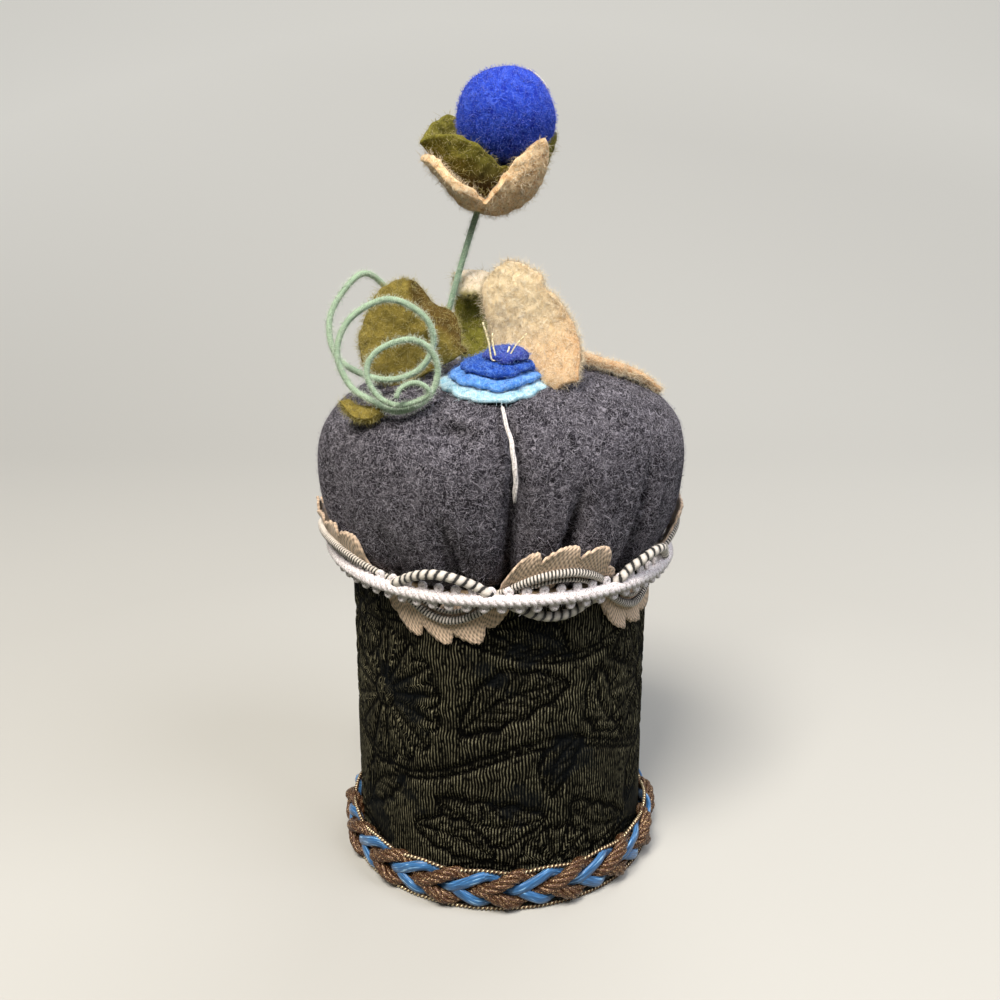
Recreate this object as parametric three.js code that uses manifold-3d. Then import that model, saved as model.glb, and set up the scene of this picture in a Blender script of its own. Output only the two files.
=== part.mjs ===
// Pincushion: a covered tube with a puffed felt cushion on top, braid trims round its neck and foot,
// and a felt flower, leaves and a wire tendril on the crown. Millimetres, +Z up, front is -Y.
import * as THREE from "three";
import { mergeVertices } from "three/addons/utils/BufferGeometryUtils.js";
import Module from "manifold-3d";

// Gap kept between two pieces that touch.
const GAP = 0.3;
// Segments round a turned piece.
const ROUND = 48;

// Rigid body under the fabric.
const BODY_HEIGHT = 67.3;
const TUBE_OUTER_R = 30.9;
const TUBE_WALL = 2;
const BASE_FELT = 1.5;
const BASE_CARD = 2;
const BALLAST_HEIGHT = 46;
const BROCADE = 0.8;
const SEAM_GAP = 0.5;

// Puffed cushion: a rounded profile above and below its widest height.
const PUFF_R = 39.2;
const PUFF_RISE = 19;
const PUFF_DROP = 27.3;
const PUFF_MID = 21.2;
const ROUND_POWER = 3.2;
const UPPER_POWER = 2.31;
const LOWER_POWER = 2.54;
const FELT = 2;
const NECK_DEPTH = 9;
const GROOVE_ANGLE = 4;
const GROOVE_DEPTH = 2.6;
const GATHERS = 9;
const GATHER_DEPTH = 0.9;

// Foot plait of four strands between two edge cords.
const CHEVRONS = 16;
const PLAIT_SWING = 2.75;
const PLAIT_LIFT = 0.8;
const STRAND_WIDTH = 2.1;
const STRAND_THICK = 1;
const EDGE_CORD_R = 0.4;

// Scroll trim round the neck.
const RIBBON_SWING = 7.6;
const RIBBON_WIDTH = 4.6;
const RIBBON_THICK = 0.4;
const SCALLOPS = 32;
const FINE_CORD_R = 0.5;
const FINE_SWING = 3.4;
const FINE_SPREAD = 0.85;
const COARSE_CORD_R = 0.75;
const COARSE_SWING = 4.4;
// Turns of the scroll at angles round the neck, and how far it swings there: the arches differ.
const SCROLL_TURNS = [
  [-270, -4],
  [-130, -1.5],
  [-106, -1.25],
  [-72, -1],
  [-36, -0.75],
  [-18, -0.5],
  [18, 0],
  [54, 0.5],
  [90, 1],
];
const SCROLL_SHARES = [
  [-270, 1.38],
  [-200, 1.05],
  [-130, 1.05],
  [-72, 0.72],
  [-18, 1.08],
  [18, 1],
  [54, 1.38],
  [90, 1.38],
];
const NECK_TILT = 1.5;
const PICOT_COUNT = 68;
const PICOT_HALF = 1;
const PICOT_LOOP = 0.7;
const PICOT_THICK = 0.9;

// Rosette of four felt discs on the crown.
const DISC_R = 10.4;
const DISC_STEP = 1.7;
const DISC_FELT = 1.4;
const ROSETTE_X = -1;
const ROSETTE_Y = -18.5;

// Flower: felt ball in a two-ply calyx on a wrapped wire.
const BALL_R = 9.6;
const WIRE_R = 0.35;
const WRAP_R = 0.7;
const CALYX_FELT = 1;
const CALYX_OPEN = 50;
// Turn from the front, and the calyx's opening angle 20 mm up it.
const CALYX_BOWL = [
  [0, 7],
  [17, 6],
  [25, 0],
  [36, 17],
  [45, 25],
  [57, 30],
  [80, 31],
  [100, 32],
  [150, 33],
  [200, 36],
  [235, 41.5],
  [250, 45],
  [262, 51],
  [272, 57],
  [290, 47.4],
  [310, 34.6],
  [325, 30],
  [340, 21],
  [360, 7],
];
// Turn, length and outward curl of each ply along its rim.
const OUTER_RIM = [
  [0, 6, 0],
  [8, 5.5, 0],
  [16, 8, 0],
  [25, 11.8, 0],
  [45, 17.5, 0],
  [57, 19.8, 0],
  [68, 17.6, 0],
  [90, 12.6, 0],
  [102, 11.5, 0],
  [125, 15.5, 0],
  [147, 18, 0],
  [192, 11.5, 0],
  [215, 15, 0],
  [237, 16.5, 0],
  [255, 15, 0],
  [270, 15.4, 0],
  [285, 15, 3],
  [300, 14.6, 8],
  [315, 13.2, 14],
  [335, 10.6, 20],
  [350, 7.5, 9],
  [360, 6, 0],
];
const LINING_RIM = [
  [0, 12.6, 0],
  [17, 11.6, 0],
  [36, 12.5, 0],
  [57, 17, 0],
  [80, 20, 0],
  [100, 22, 0],
  [120, 21.5, 0],
  [150, 18.5, 0],
  [180, 18, 0],
  [200, 20, 0],
  [215, 21.8, 0],
  [235, 22.4, 0],
  [250, 20.5, 0],
  [272, 17.7, 0],
  [300, 17, 0],
  [325, 15.8, 0],
  [360, 12.6, 0],
];
const STEM_LENGTH = 49.4;

// Tendril: places along its wire, from the crown's centre at the cushion's top.
const TENDRIL_STEPS = 92;
const TENDRIL_KNOTS = [
  [-22.3, -6.5, 15.5],
  [-26.9, -9.5, 18.9],
  [-32.1, -12, 13.2],
  [-33.2, -14, 7.7],
  [-30.7, -15.8, 2.2],
  [-22.8, -17.5, -0.9],
  [-15.8, -18.5, 0.9],
  [-12.6, -19, 6.2],
  [-14.3, -19.5, 11.4],
  [-20.9, -20.3, 14.6],
  [-28, -21, 11.1],
  [-30.6, -22, 4.9],
  [-28.2, -23, -1.3],
  [-23.4, -26, -3.6],
  [-18.6, -29.1, -5.2],
  [-13.2, -28, -2.8],
  [-11.3, -27.5, 2.5],
  [-13.4, -28, 6.8],
  [-17.2, -28.5, 7.9],
  [-22.5, -29, 5.7],
  [-24.2, -29.5, 2],
  [-22.2, -30, -2.2],
  [-18, -30.5, -3.8],
  [-12.6, -31, -1.6],
  [-14.8, -31.5, 0.6],
  [-17.8, -32, -0.3],
  [-18.7, -32.5, -2.4],
];

// Felt leaves.
const LEAF_FELT = 1.8;
// Half width of the right leaf's left side along its spine.
const RIGHT_LEAF = [
  [0, 1.2],
  [0.12, 1.5],
  [0.2, 2],
  [0.3, 2.8],
  [0.4, 5.8],
  [0.5, 8.2],
  [0.68, 6.3],
  [1, 3.4],
];
const THREAD_R = 0.35;
const GOLD_R = 0.22;

const rad = THREE.MathUtils.degToRad;
const { lerp, smoothstep } = THREE.MathUtils;
const point = (x, y, z) => new THREE.Vector3(x, y, z);

const felts = BASE_FELT + GAP;
const sleeveInner = TUBE_OUTER_R + GAP;
const sleeveOuter = sleeveInner + BROCADE;
const tubeInner = TUBE_OUTER_R - TUBE_WALL;
const neckZ = BODY_HEIGHT + 0.8;
const puffZ = BODY_HEIGHT + PUFF_MID;
const crownZ = puffZ + PUFF_RISE;

const wasm = await Module();
wasm.setup();

// Closed surface through rings of points. A ring of one point is a pole; open ends get flat caps.
function loft(rings, closed = false) {
  const positions = [];
  const index = [];
  const starts = rings.map((ring) => {
    const start = positions.length / 3;
    ring.forEach((p) => positions.push(p.x, p.y, p.z));
    return start;
  });
  const last = closed ? rings.length : rings.length - 1;
  for (let i = 0; i < last; i++) {
    const k = (i + 1) % rings.length;
    const n = Math.max(rings[i].length, rings[k].length);
    for (let j = 0; j < n; j++) {
      const m = (j + 1) % n;
      const a = starts[i] + (j % rings[i].length);
      const b = starts[i] + (m % rings[i].length);
      const c = starts[k] + (m % rings[k].length);
      const d = starts[k] + (j % rings[k].length);
      if (a !== b) index.push(a, b, c);
      if (c !== d) index.push(a, c, d);
    }
  }
  const cap = (ring, start, flip) => {
    let low = 0;
    let high = ring.length - 1;
    const face = (a, b, c) => index.push(start + a, start + (flip ? c : b), start + (flip ? b : c));
    while (high - low > 1) {
      face(low, high, low + 1);
      low++;
      if (high - low > 1) face(low, high, high - 1);
      high--;
    }
  };
  if (!closed) {
    cap(rings[0], starts[0], false);
    cap(rings.at(-1), starts.at(-1), true);
  }
  const geometry = new THREE.BufferGeometry();
  geometry.setAttribute("position", new THREE.Float32BufferAttribute(positions, 3));
  geometry.setIndex(index);
  if (volume(geometry) < 0) geometry.setIndex(index.reverse());
  geometry.computeVertexNormals();
  return geometry;
}

// Signed volume of an indexed geometry.
function volume(geometry) {
  const p = geometry.getAttribute("position");
  const at = (k) => new THREE.Vector3().fromBufferAttribute(p, geometry.index.array[k]);
  let sum = 0;
  for (let k = 0; k < geometry.index.count; k += 3) {
    sum += at(k).dot(at(k + 1).cross(at(k + 2))) / 6;
  }
  return sum;
}

function solidOf(geometry) {
  const bare = new THREE.BufferGeometry();
  bare.setAttribute("position", geometry.getAttribute("position"));
  if (geometry.index) bare.setIndex(geometry.index);
  const merged = mergeVertices(bare, 1e-3);
  return new wasm.Manifold(
    new wasm.Mesh({
      numProp: 3,
      vertProperties: new Float32Array(merged.getAttribute("position").array),
      triVerts: new Uint32Array(merged.index.array),
    }),
  );
}

// Geometry left after the cutters are taken away.
function cut(geometry, ...cutters) {
  const solid = cutters.reduce((body, c) => body.subtract(solidOf(c)), solidOf(geometry));
  const mesh = solid.getMesh();
  const made = new THREE.BufferGeometry();
  made.setAttribute("position", new THREE.BufferAttribute(mesh.vertProperties, 3));
  made.setIndex(new THREE.BufferAttribute(mesh.triVerts, 1));
  made.computeVertexNormals();
  return made;
}

// Round tube along points, with frames that don't twist; closed tubes join end to start.
function tube(points, radius, sides, closed = false) {
  const curve = new THREE.CatmullRomCurve3(points, closed);
  const count = points.length;
  const tangents = points.map((p, i) => curve.getTangent(closed ? i / count : i / (count - 1)));
  let normal = point(0, 0, 1);
  if (Math.abs(tangents[0].z) > 0.9) normal = point(1, 0, 0);
  const rings = points.map((p, i) => {
    const t = tangents[i];
    normal = normal.clone().addScaledVector(t, -normal.dot(t)).normalize();
    const side = t.clone().cross(normal);
    const r = typeof radius === "function" ? radius(i / (count - 1)) : radius;
    return Array.from({ length: sides }, (_, j) => {
      const a = (2 * Math.PI * j) / sides;
      const offset = normal.clone().multiplyScalar(r * Math.cos(a));
      return p.clone().add(offset.addScaledVector(side, r * Math.sin(a)));
    });
  });
  return loft(rings, closed);
}

// Hollow wrapping round a wire: an open tube with a wall.
function wrapping(points, outer, inner, sides) {
  const count = points.length;
  const path = new THREE.CatmullRomCurve3(points);
  const bore = tube(extended(path, count, 1), inner, sides);
  return cut(tube(points, outer, sides), bore);
}

// Points along a curve, carried on past both ends by a length.
function extended(path, count, extra) {
  const points = path.getPoints(count - 1);
  points.unshift(points[0].clone().addScaledVector(path.getTangent(0), -extra));
  points.push(points.at(-1).clone().addScaledVector(path.getTangent(1), extra));
  return points;
}

// Value of a table's column at a place, its rows joined by straight lines.
function read(table, place, column = 1) {
  const k = table.findIndex((row) => row[0] > place);
  if (k < 1) return table.at(k)[column];
  const [low, high] = [table[k - 1], table[k]];
  return lerp(low[column], high[column], (place - low[0]) / (high[0] - low[0]));
}

// Place on the body at an angle from the front, a radius and a height.
function around(degrees, r, z) {
  const a = rad(degrees);
  return point(r * Math.sin(a), -r * Math.cos(a), z);
}

// Radius of the plain puffed cushion at a height.
function puffRadius(z) {
  const up = z > puffZ;
  const off = up ? (z - puffZ) / PUFF_RISE : (puffZ - z) / PUFF_DROP;
  const power = up ? UPPER_POWER : LOWER_POWER;
  return PUFF_R * Math.max(0, 1 - Math.min(1, off) ** power) ** (1 / ROUND_POWER);
}

// Height of the crown above a place on it.
function crownHeight(x, y) {
  const out = Math.min(1, Math.hypot(x, y) / PUFF_R);
  return puffZ + PUFF_RISE * (1 - out ** ROUND_POWER) ** (1 / UPPER_POWER);
}

const onCrown = (x, y, lift) => point(x, y, crownHeight(x, y) + lift);

// How far the felt is drawn in by the tufting groove and the gathers.
function drawnIn(degrees, z) {
  const off = ((((degrees - GROOVE_ANGLE) % 360) + 540) % 360) - 180;
  const groove = GROOVE_DEPTH * Math.exp(-((off / 6) ** 2));
  const low = smoothstep(puffZ - z, -2, PUFF_MID);
  const gather = GATHER_DEPTH * low * (0.5 - 0.5 * Math.cos(rad(off * GATHERS)));
  return groove + gather;
}

// Rings of the cushion's skin, set in from the outside by an amount, from the crown to the neck.
function puffRings(inset, rows, columns) {
  const bottom = BODY_HEIGHT + GAP + inset;
  const rings = [[point(0, 0, crownZ - inset)]];
  for (let i = 1; i <= rows; i++) {
    const u = i / rows;
    const above = puffZ + PUFF_RISE * Math.max(0, Math.cos(Math.PI * u)) ** 0.8;
    const height = u < 0.5 ? above : lerp(puffZ, bottom, 2 * u - 1);
    const plain = Math.max(puffRadius(height), 0.1);
    const ring = [];
    for (let j = 0; j < columns; j++) {
      const degrees = (360 * j) / columns + GROOVE_ANGLE;
      const fade = Math.min(1, plain / (0.75 * PUFF_R));
      const r = plain - inset - fade * drawnIn(degrees, height);
      const squash = height > puffZ ? inset * ((height - puffZ) / PUFF_RISE) : 0;
      ring.push(around(degrees, r, height - squash));
    }
    rings.push(ring);
  }
  return rings;
}

const neckRing = (r, z, columns) =>
  Array.from({ length: columns }, (_, j) => around((360 * j) / columns + GROOVE_ANGLE, r, z));

const part = new THREE.Group();
part.name = "pincushion";

function add(name, geometry, color, roughness = 0.9, metalness = 0) {
  const material = new THREE.MeshStandardMaterial({ color, roughness, metalness });
  const mesh = new THREE.Mesh(geometry, material);
  mesh.name = name;
  part.add(mesh);
  return mesh;
}

// Solid disc lying on a height.
function disc(r, low, thick) {
  const geometry = new THREE.CylinderGeometry(r, r, thick, ROUND);
  return geometry.rotateX(Math.PI / 2).translate(0, 0, low + thick / 2);
}

// Open tube standing on a height.
function turned(outer, inner, low, high) {
  const profile = [
    new THREE.Vector2(inner, low),
    new THREE.Vector2(outer, low),
    new THREE.Vector2(outer, high),
    new THREE.Vector2(inner, high),
    new THREE.Vector2(inner, low),
  ];
  return new THREE.LatheGeometry(profile, ROUND).rotateX(Math.PI / 2);
}

// Rigid body.
add("base_felt", disc(sleeveOuter, 0, BASE_FELT), 0x26261f);
add("base_card", disc(tubeInner - GAP, felts, BASE_CARD), 0x9a8466);
add("core_tube", turned(TUBE_OUTER_R, tubeInner, felts, BODY_HEIGHT), 0x9a8466);
const ballastLow = felts + BASE_CARD + GAP;
add("ballast", disc(tubeInner - GAP, ballastLow, BALLAST_HEIGHT), 0x8a765c);

// Brocade sleeve, its two edges meeting in a butt seam at the back.
const seam = THREE.MathUtils.radToDeg(SEAM_GAP / sleeveInner / 2);
const strip = [];
for (let i = 0; i <= ROUND; i++) {
  const degrees = lerp(-180 + seam, 180 - seam, i / ROUND);
  const corner = (r, z) => around(degrees, r, z);
  strip.push([
    corner(sleeveInner, felts),
    corner(sleeveOuter, felts),
    corner(sleeveOuter, BODY_HEIGHT),
    corner(sleeveInner, BODY_HEIGHT),
  ]);
}
add("brocade_sleeve", loft(strip), 0x2c2a1e, 0.7);

// Foot plait: each strand swings from edge to edge and passes over two, under two in turn.
const plaitZ = 2 * EDGE_CORD_R + 0.1 + GAP + PLAIT_SWING + STRAND_WIDTH / 2;
const plaitR = sleeveOuter + GAP + PLAIT_LIFT + STRAND_THICK / 2 + 0.2;
const plaitSteps = 10;

// Side of the plait a strand is on at a part of its swing: 1 over, -1 under.
function plaitSide(t) {
  if (t < 0.25) return 2 * smoothstep(t, -0.07, 0.07) - 1;
  if (t < 0.45) return 1 - 2 * smoothstep(t, 0.27, 0.355);
  if (t < 0.65) return 2 * smoothstep(t, 0.43, 0.57) - 1;
  if (t < 0.9) return 1 - 2 * smoothstep(t, 0.645, 0.73);
  return 2 * smoothstep(t - 1, -0.07, 0.07) - 1;
}

function plaitStrand(phase) {
  const periods = CHEVRONS / 2;
  const rings = [];
  for (let i = 0; i < periods * plaitSteps; i++) {
    const turn = i / plaitSteps;
    const t = (turn + phase) % 1;
    const degrees = -6 - (360 * turn) / periods;
    const z = plaitZ + PLAIT_SWING * Math.cos(2 * Math.PI * t);
    const r = plaitR + PLAIT_LIFT * plaitSide(t);
    const w = STRAND_WIDTH / 2;
    const h = STRAND_THICK / 2;
    rings.push([
      around(degrees, r + h, z),
      around(degrees, r, z + w),
      around(degrees, r - h, z),
      around(degrees, r, z - w),
    ]);
  }
  return loft(rings, true);
}

add("foot_strand_blue_1", plaitStrand(0), 0x4f93d8, 0.5);
add("foot_strand_copper_1", plaitStrand(0.25), 0x8a5a38, 0.45, 0.4);
add("foot_strand_blue_2", plaitStrand(0.5), 0x4f93d8, 0.5);
add("foot_strand_copper_2", plaitStrand(0.75), 0x8a5a38, 0.45, 0.4);

// Closed cord round the body; the path gives radius and height at an angle.
function ringCord(path, radius, steps, sides) {
  const points = [];
  for (let i = 0; i < steps; i++) {
    const degrees = (360 * i) / steps;
    const [r, z] = path(degrees);
    points.push(around(degrees, r, z));
  }
  return tube(points, radius, sides, true);
}

const footTop = 2 * plaitZ - EDGE_CORD_R - 0.1;
const footEdge = (z) => ringCord(() => [plaitR, z], EDGE_CORD_R, ROUND, 4);
add("foot_edge_lower", footEdge(EDGE_CORD_R + 0.1), 0xd9b878, 0.4, 0.6);
add("foot_edge_upper", footEdge(footTop), 0xd9b878, 0.4, 0.6);

// Places and leaves on the crown scale with the cushion's radius.
const reach = PUFF_R / 39.2;

// Wire path of the flower stem, bowed a little to the left.
const stemRoot = onCrown(-15 * reach, -6 * reach, -7);
const flowerAxis = point(0.278, 0, 0.96).normalize();
const stemTip = stemRoot.clone().addScaledVector(flowerAxis, STEM_LENGTH);
const stemPath = [0, 0.25, 0.5, 0.75, 1].map((u) => {
  const p = stemRoot.clone().lerp(stemTip, u);
  return p.add(point(-0.8 * Math.sin(Math.PI * u), 0, 0));
});

// Tendril: a coil that shrinks toward the front, one unbroken wire from its root in the crown.
const tendrilRoot = onCrown(-16.5 * reach, -3.5 * reach, -6 * reach);
const tendrilCurve = new THREE.CatmullRomCurve3([
  tendrilRoot,
  tendrilRoot.clone().add(point(-0.2, 0, 7.5).multiplyScalar(reach)),
  tendrilRoot.clone().add(point(-1.6, -0.6, 15.5).multiplyScalar(reach)),
  ...TENDRIL_KNOTS.map((k) => point(...k).multiplyScalar(reach).add(point(0, 0, crownZ))),
]);
const tendrilPath = tendrilCurve.getSpacedPoints(TENDRIL_STEPS);

// Least distance between parts of the wire that aren't neighbours along it.
function leastGap(points, thick, skip) {
  let least = Infinity;
  points.forEach((p, i) =>
    points.slice(i + skip).forEach((q) => {
      least = Math.min(least, p.distanceTo(q) - thick);
    }),
  );
  return least;
}
console.log("tendril gap to itself, mm:", leastGap(tendrilPath, 2 * WRAP_R, 4).toFixed(2));

// Cushion: felt cover over its filling, both bored for the two wires.
const columns = 48;
const outerRings = puffRings(0, 11, columns);
const innerRings = puffRings(FELT, 7, columns);
const fillRings = puffRings(FELT + GAP, 7, columns);
const neckR = tubeInner - GAP;
const neckLow = BODY_HEIGHT - NECK_DEPTH;
const coverRings = [
  ...outerRings,
  neckRing(neckR, BODY_HEIGHT + GAP, columns),
  neckRing(neckR, neckLow, columns),
  neckRing(neckR - FELT, neckLow, columns),
  neckRing(neckR - FELT, BODY_HEIGHT + GAP + FELT, columns),
  ...innerRings.slice().reverse(),
];
const fillingRings = [
  ...fillRings,
  neckRing(neckR - FELT - GAP, BODY_HEIGHT + GAP + FELT + GAP, columns),
  neckRing(neckR - FELT - GAP, neckLow, columns),
];
const bore = WRAP_R + GAP;
const stemBore = tube(extended(new THREE.CatmullRomCurve3(stemPath), 5, 0.5), bore, 8);
const tendrilBore = tube(
  [tendrilRoot.clone().add(point(0, 0, -0.6)), ...tendrilPath.slice(0, 7)],
  bore,
  8,
);
add("cushion_cover", cut(loft(coverRings), stemBore, tendrilBore), 0x4a464c, 0.95);
add("cushion_filling", cut(loft(fillingRings), stemBore, tendrilBore), 0xe6dfd0, 1);

// Tufting thread laid in the front groove from under the rosette.
const threadPath = [];
for (let i = 0; i <= 8; i++) {
  const z = lerp(puffZ + 0.74 * PUFF_RISE, puffZ - 0.05 * PUFF_DROP, i / 8);
  const r = puffRadius(z) - GROOVE_DEPTH + THREAD_R + GAP + 0.5;
  threadPath.push(around(GROOVE_ANGLE, r, z));
}
add("tufting_thread", tube(threadPath, THREAD_R, 6), 0xd8d4d0, 0.6);

// Surface the neck trim lies on: the sleeve below the neck, the cushion above it.
function underTrim(z) {
  const blend = smoothstep(z, BODY_HEIGHT - 2, BODY_HEIGHT + 3);
  return lerp(sleeveOuter, Math.max(sleeveOuter, puffRadius(z)), blend);
}

// Angle from the back of the left side on, as the scroll's tables run.
const turned270 = (degrees) => ((((degrees + 270) % 360) + 360) % 360) - 270;
const scroll = (degrees) => Math.cos(2 * Math.PI * read(SCROLL_TURNS, turned270(degrees)));
const scrollShare = (degrees) => read(SCROLL_SHARES, turned270(degrees));

// Height of the neck: it rises a little at the left.
const neckLine = (degrees) => neckZ + NECK_TILT * Math.exp(-(((turned270(degrees) + 88) / 42) ** 2));

// Woven ribbon that swings above and below the neck, its edges scalloped.
function ribbon() {
  const steps = SCALLOPS * 4;
  const rings = [];
  const middle = (d) => neckLine(d) + RIBBON_SWING * scrollShare(d) * scroll(d);
  for (let i = 0; i < steps; i++) {
    const degrees = (360 * i) / steps;
    const z = middle(degrees);
    const slope = (middle(degrees + 1) - middle(degrees - 1)) / (2 * rad(1) * sleeveOuter);
    const half = (RIBBON_WIDTH / 2) * Math.hypot(1, slope) ** 0.6 + [-0.6, 0.6, 0.3, 0][i % 4];
    const at = (h, lift) => around(degrees, underTrim(h) + GAP + lift, h);
    rings.push([
      at(z + half, 0),
      at(z + half, RIBBON_THICK),
      at(z, RIBBON_THICK),
      at(z - half, RIBBON_THICK),
      at(z - half, 0),
      at(z, 0),
    ]);
  }
  return loft(rings, true);
}
add("gimp_ribbon", ribbon(), 0xc2a37f);

const fineLift = 2 * GAP + RIBBON_THICK + FINE_CORD_R + 0.9;
const finePath = (side) => (degrees) => {
  const z = neckLine(degrees) + FINE_SWING * scrollShare(degrees) * scroll(degrees) + side * FINE_SPREAD;
  return [underTrim(z) + fineLift, z];
};
const cordSteps = 76;
add("gimp_cord_fine_upper", ringCord(finePath(1), FINE_CORD_R, cordSteps, 5), 0x8f8a80);
add("gimp_cord_fine_lower", ringCord(finePath(-1), FINE_CORD_R, cordSteps, 5), 0x8f8a80);

const coarsePath = (degrees) => {
  const wave = scroll(degrees);
  const z = neckLine(degrees) - COARSE_SWING * scrollShare(degrees) * wave;
  const over = fineLift + FINE_CORD_R + GAP + COARSE_CORD_R + 0.35;
  const flat = 2 * GAP + RIBBON_THICK + COARSE_CORD_R;
  const near = 1 - smoothstep(Math.abs(wave), 0.28, 0.6);
  return [underTrim(z) + lerp(flat, over, near), z];
};
add("gimp_cord_coarse", ringCord(coarsePath, COARSE_CORD_R, cordSteps, 6), 0xe8e0d4);

// Picot braid that covers the join, its edges beaded with small loops.
function picot() {
  const under = fineLift + FINE_CORD_R + 2 * COARSE_CORD_R + 2 * GAP + 0.35;
  const rings = [];
  for (let i = 0; i < 2 * PICOT_COUNT; i++) {
    const degrees = (180 * i) / PICOT_COUNT;
    const z = neckLine(degrees);
    const lie = underTrim(z + COARSE_CORD_R) + under;
    const half = PICOT_HALF + (i % 2 ? PICOT_LOOP : 0);
    rings.push([
      around(degrees, lie, z + half),
      around(degrees, lie + PICOT_THICK, z + 0.7 * half),
      around(degrees, lie + PICOT_THICK, z - 0.7 * half),
      around(degrees, lie, z - half),
    ]);
  }
  return loft(rings, true);
}
add("picot_braid", picot(), 0xf0e6ea);

// Rosette: felt discs, each smaller than the one below, sagging over the crown.
const rosetteTilt = Math.atan2(
  crownHeight(ROSETTE_X, ROSETTE_Y + 4) - crownHeight(ROSETTE_X, ROSETTE_Y - 4),
  8,
);
const rosetteBase = onCrown(ROSETTE_X, ROSETTE_Y, GAP + 0.5);

function rosetteDisc(r, low, sag, dome) {
  const rings = [[point(0, 0, low)]];
  const columns = 24;
  const row = (share, z) =>
    rings.push(
      Array.from({ length: columns }, (_, j) => {
        const a = (2 * Math.PI * j) / columns;
        const out = r * share;
        return point(out * Math.cos(a), out * Math.sin(a), z - sag * out ** 2);
      }),
    );
  row(0.6, low);
  row(1, low);
  row(1, low + DISC_FELT - dome);
  row(0.6, low + DISC_FELT - 0.3 * dome);
  rings.push([point(0, 0, low + DISC_FELT)]);
  return loft(rings).rotateX(rosetteTilt).translate(rosetteBase.x, rosetteBase.y, rosetteBase.z);
}
const sag = 0.009;
add("rosette_disc_pale", rosetteDisc(DISC_R, 0, sag, 0), 0xbfe0ee);
add("rosette_disc_cornflower", rosetteDisc(0.83 * DISC_R, DISC_STEP, sag, 0), 0x5b95e0);
add("rosette_disc_royal", rosetteDisc(0.66 * DISC_R, 2 * DISC_STEP, sag, 0), 0x2f5bc0);
add("rosette_disc_indigo", rosetteDisc(0.47 * DISC_R, 3 * DISC_STEP, sag, 0.7), 0x2b3a9a);

// Gold thread tails standing on the rosette, each pair one thread through a stitch.
function goldTails(x, tips) {
  const foot = 3 * DISC_STEP + DISC_FELT + GOLD_R + 0.15;
  const path = [
    point(tips[0], 1.2, foot + 6.6),
    point(lerp(x, tips[0], 0.5), 0.6, foot + 3.2),
    point(x - 0.45, 0, foot),
    point(x + 0.45, 0, foot),
    point(lerp(x, tips[1], 0.5), 0.7, foot + 2.6),
    point(tips[1], 1.4, foot + 4.9),
  ];
  const smooth = new THREE.CatmullRomCurve3(path, false, "catmullrom", 0.3).getPoints(14);
  return tube(smooth, GOLD_R, 5)
    .rotateX(rosetteTilt)
    .translate(rosetteBase.x, rosetteBase.y, rosetteBase.z);
}
add("gold_tails_left", goldTails(-1.4, [-3.2, -1.3]), 0xe6cf9a, 0.4, 0.5);
add("gold_tails_right", goldTails(1.3, [2.4, 5]), 0xe6cf9a, 0.4, 0.5);

// Felt leaf: a spine of points, a side direction, a half width along it and a cup across it.
function leaf(spine, side, half, cup, rows = 9, across = 6) {
  const curve = new THREE.CatmullRomCurve3(spine);
  const rings = [];
  for (let i = 0; i <= rows; i++) {
    const u = i / rows;
    const tangent = curve.getTangent(u);
    const lateral = side(u).addScaledVector(tangent, -side(u).dot(tangent)).normalize();
    const up = tangent.clone().cross(lateral).normalize();
    const middle = curve.getPoint(u);
    const [left, right] = half(u).map((width) => width * reach);
    const front = [];
    const back = [];
    for (let j = 0; j <= across; j++) {
      const v = -1 + (2 * j) / across;
      const out = v < 0 ? v * left : v * right;
      const p = middle.clone().addScaledVector(lateral, out);
      p.addScaledVector(up, cup(u, v) * reach);
      front.push(p.clone().addScaledVector(up, LEAF_FELT / 2));
      back.unshift(p.addScaledVector(up, -LEAF_FELT / 2));
    }
    rings.push([...front, ...back]);
  }
  return loft(rings);
}

// Half width of an oval leaf whose base keeps a part of its width.
function oval(u, wide, base) {
  return 0.8 + wide * Math.max(base * (1 - u), Math.sin(Math.PI * u ** 0.9) ** 0.75);
}

// Share of a leaf's width left where its tip is rounded off.
const rounded = (u) => Math.sqrt(1 - 0.8 * Math.max(0, (u - 0.86) / 0.14) ** 2);

// Place above the crown, scaled by the cushion.
const above = (x, y, lift) => onCrown(x * reach, y * reach, lift * reach);

// Left leaf, standing behind the tendril with its right side turned away.
add(
  "leaf_left",
  leaf(
    [
      above(-14.5, -14.5, 3.4),
      above(-17.4, -12.6, 7),
      above(-18.8, -10.9, 13),
      above(-18, -9.8, 18.4),
    ],
    () => point(1, 0.05, 0),
    (u) => [
      oval(u, 9.2, 0.5) * (1 - 0.12 * Math.sin(5 * u)) - 2.6 * u ** 3,
      oval(u, 8.2, 0.5) + 1.5 * (1 - u) - 2.4 * u ** 3,
    ],
    (u, v) => (3.6 * Math.abs(v - 0.9 * (1 - u) ** 1.2) - 2) * lerp(0.3, 1, smoothstep(u, 0, 0.35)),
  ),
  0x8a7430,
);

// Small leaf lying on the left shoulder, its tip lifted.
add(
  "leaf_low",
  leaf(
    [
      above(-22, -25.4, 1.3),
      above(-24.4, -25.2, 1.6),
      above(-27, -24.2, 3),
      above(-29.6, -22.4, 5.8),
    ],
    () => point(0.2, -1, -0.45),
    (u) => [oval(u, 2, 0.9), oval(u, 2.2, 0.9)],
    (u, v) => -0.2 * v * v,
  ),
  0x86722e,
);

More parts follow.
